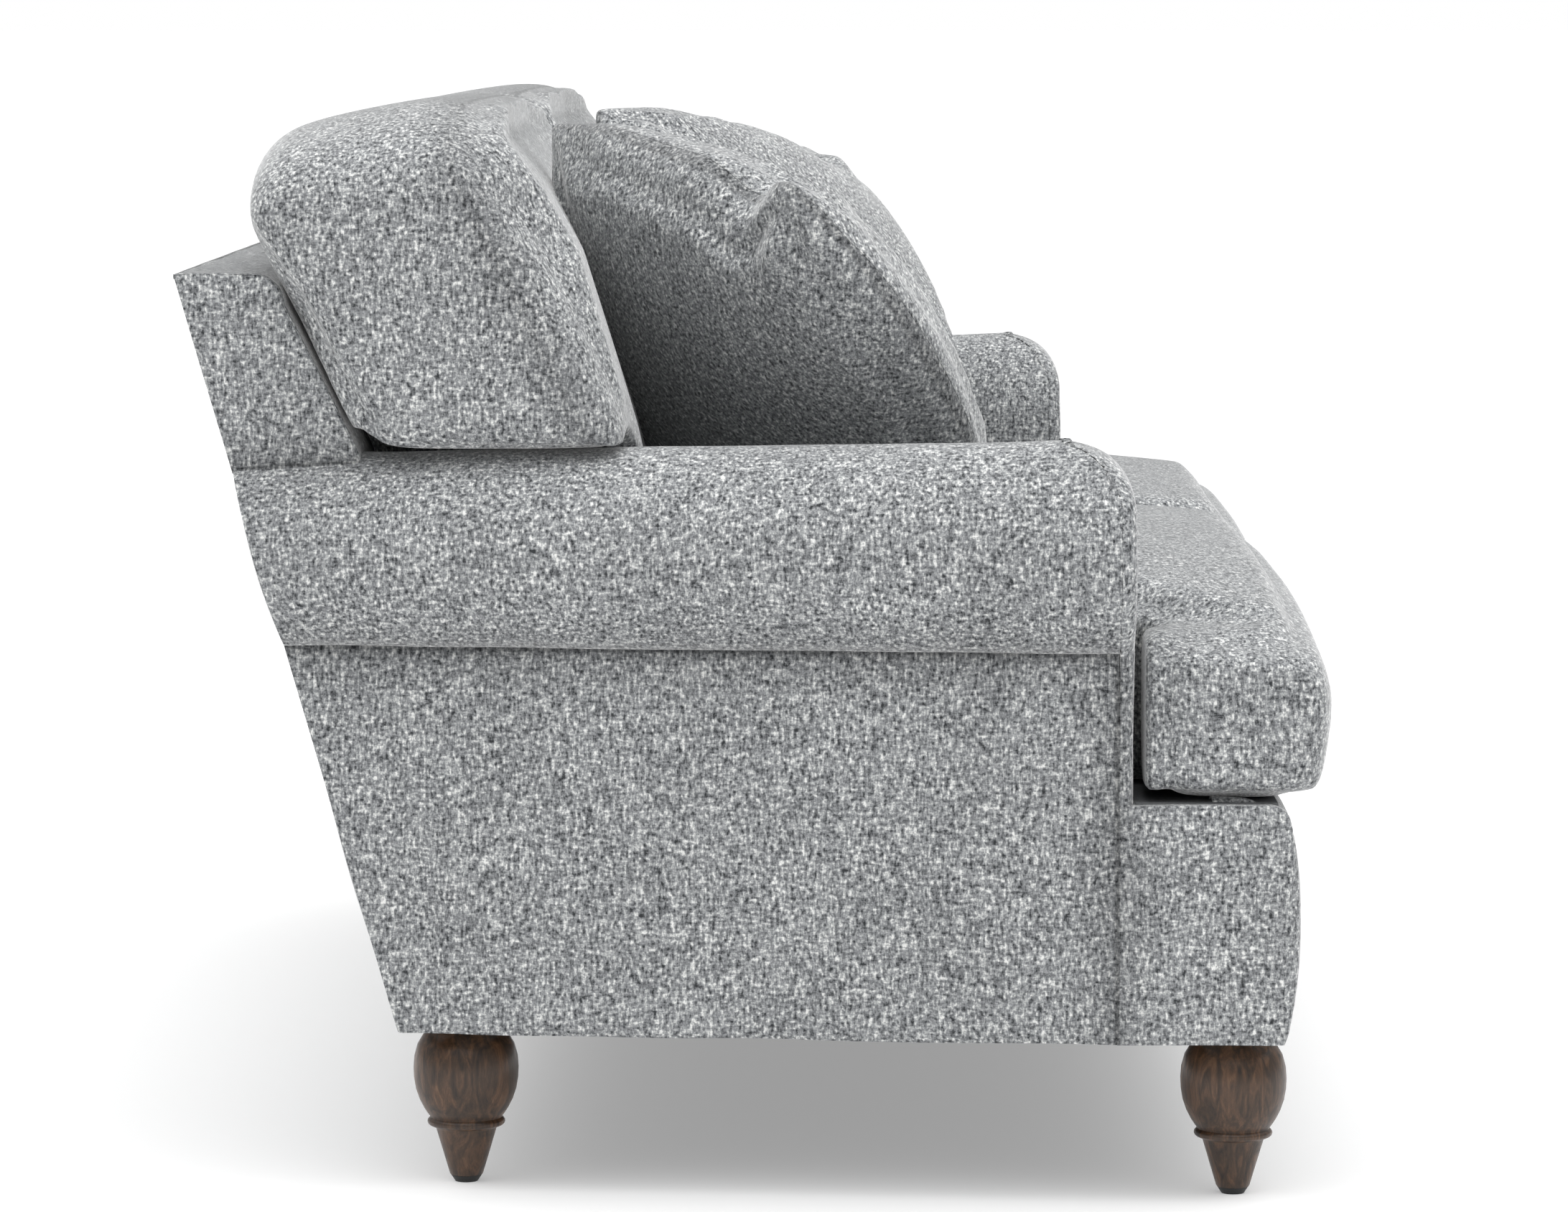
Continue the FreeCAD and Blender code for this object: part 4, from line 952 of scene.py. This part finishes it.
dark_walnut = walnut("satin_dark_walnut")
for name, (leg_x, leg_y) in leg_places.items():
    bpy.ops.object.select_all(action="DESELECT")
    start_radius, start_height = leg_profile[0]
    bpy.ops.mesh.primitive_circle_add(
        vertices=64, radius=start_radius, fill_type="NGON", location=(0, 0, start_height)
    )
    leg = bpy.context.object
    leg.name = "turned_" + name
    bpy.ops.object.transform_apply()
    bpy.ops.object.mode_set(mode="EDIT")
    bpy.ops.mesh.select_all(action="SELECT")
    for (radius, height), (next_radius, next_height) in zip(leg_profile, leg_profile[1:]):
        bpy.ops.mesh.extrude_region_move(TRANSFORM_OT_translate={"value": (0, 0, next_height - height)})
        growth = next_radius / radius
        bpy.ops.transform.resize(value=(growth, growth, 1), center_override=(0, 0, next_height))
    bpy.ops.mesh.select_all(action="SELECT")
    bpy.ops.mesh.normals_make_consistent(inside=False)
    bpy.ops.object.mode_set(mode="OBJECT")
    move_points(leg, points_of(leg) + (leg_x, leg_y, 0))
    leg.data.materials.append(dark_walnut)
    bpy.ops.object.shade_smooth_by_angle(angle=math.radians(35))
    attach(leg, "root")
    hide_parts(name)


# Hidden frame, springing and stuffing: what a restorer finds under the covers, which is a beech frame with
# jute webbing, wadding, foam and feather, lining cloths, and the steel and nylon fittings of the legs.
def plain_material(name, dark, light, grain, roughness, metallic=0.0, stretch=(1, 1, 1)):
    """A material whose two tones follow the size of its own grain, in metres."""
    material, tree = start_material(name)
    place = add_node(tree, "ShaderNodeTexCoord").outputs["Object"]
    scaled = add_node(
        tree, "ShaderNodeVectorMath", {"operation": "MULTIPLY", 1: [part / grain for part in stretch]},
        {0: place},
    ).outputs[0]
    noise = add_node(
        tree, "ShaderNodeTexNoise", {"Scale": 1.0, "Detail": 4.0, "Roughness": 0.6}, {"Vector": scaled}
    ).outputs["Fac"]
    ramp = add_node(tree, "ShaderNodeValToRGB", links={0: noise})
    stops = ramp.color_ramp.elements
    stops[0].position, stops[0].color = 0.35, linear(dark)
    stops[1].position, stops[1].color = 0.65, linear(light)
    relief = add_node(
        tree, "ShaderNodeBump", {"Strength": 0.3, "Distance": 0.0004}, {"Height": noise}
    ).outputs[0]
    shader = add_node(
        tree, "ShaderNodeBsdfPrincipled", {"Roughness": roughness, "Metallic": metallic},
        {"Base Color": ramp.outputs[0], "Normal": relief},
    )
    add_node(tree, "ShaderNodeOutputMaterial", links={"Surface": shader.outputs[0]})
    return material


# Beech is sawn and left raw, felt and twill are dull and dark, and wadding, foam and ticking pale and soft.
# Webbing is coarse and brown, spunbonded cloth black, zinc plate bright with a faint mottle, and nylon smooth.
beech = plain_material("sawn_beech", "#b08a62", "#cfae86", 0.004, 0.6, stretch=(1, 1, 0.2))
felt = plain_material("deck_felt", "#4f5052", "#6d6e70", 0.003, 0.95)
lining = plain_material("deck_twill", "#5a5c5e", "#77797b", 0.0015, 0.9, stretch=(1, 0.4, 1))
wadding = plain_material("polyester_wadding", "#e4e3de", "#f6f5f1", 0.006, 0.95)
foam = plain_material("polyurethane_foam", "#e2d9b8", "#f1e9cd", 0.002, 0.9)
feather = plain_material("feather_fill_ticking", "#dcd8cf", "#eeeae2", 0.002, 0.9)
webbing = plain_material("jute_webbing", "#7d6b4c", "#a9946c", 0.002, 0.9, stretch=(1, 0.3, 1))
spunbond = plain_material("black_spunbonded_cloth", "#141415", "#242425", 0.001, 0.85)
zinc = plain_material("zinc_plated_steel", "#9b9da0", "#c9cbcd", 0.003, 0.35, metallic=1.0)
nylon = plain_material("black_nylon_glide", "#121212", "#1e1e1e", 0.002, 0.5)
finishes = {
    "frame_wood": beech, "deck_felt": felt, "deck_lining": lining, "wadding": wadding, "foam": foam,
    "feather_fill": feather, "webbing": webbing, "dust_cloth": spunbond, "zinc_steel": zinc,
    "glide_plastic": nylon, "upholstery": sofa_tweed, "walnut": dark_walnut,
}
for piece, slot in fillings:
    piece.data.materials.clear()
    piece.data.materials.append(finishes[slot])
slots = {
    "deck_pad": "deck_felt", "deck_cloth": "deck_lining", "dust_cover": "dust_cloth",
    "leg_glides": "glide_plastic", "leg_plates": "zinc_steel", "hanger_bolts": "zinc_steel",
    "back_padding": "wadding", "front_border_padding": "wadding", "back_webbing": "webbing",
    "seat_webbing_long": "webbing", "seat_webbing_cross": "webbing",
}
slot_words = {
    "arm_padding": "wadding", "cushion_core": "foam", "pillow_insert": "feather_fill", "_leg_": "walnut",
    "cover": "upholstery", "facing": "upholstery", "panel": "upholstery",
}
for name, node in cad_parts.items():
    by_word = next((slot for word, slot in slot_words.items() if word in name), "frame_wood")
    node.data.materials.clear()
    node.data.materials.append(finishes[slots.get(name, by_word)])
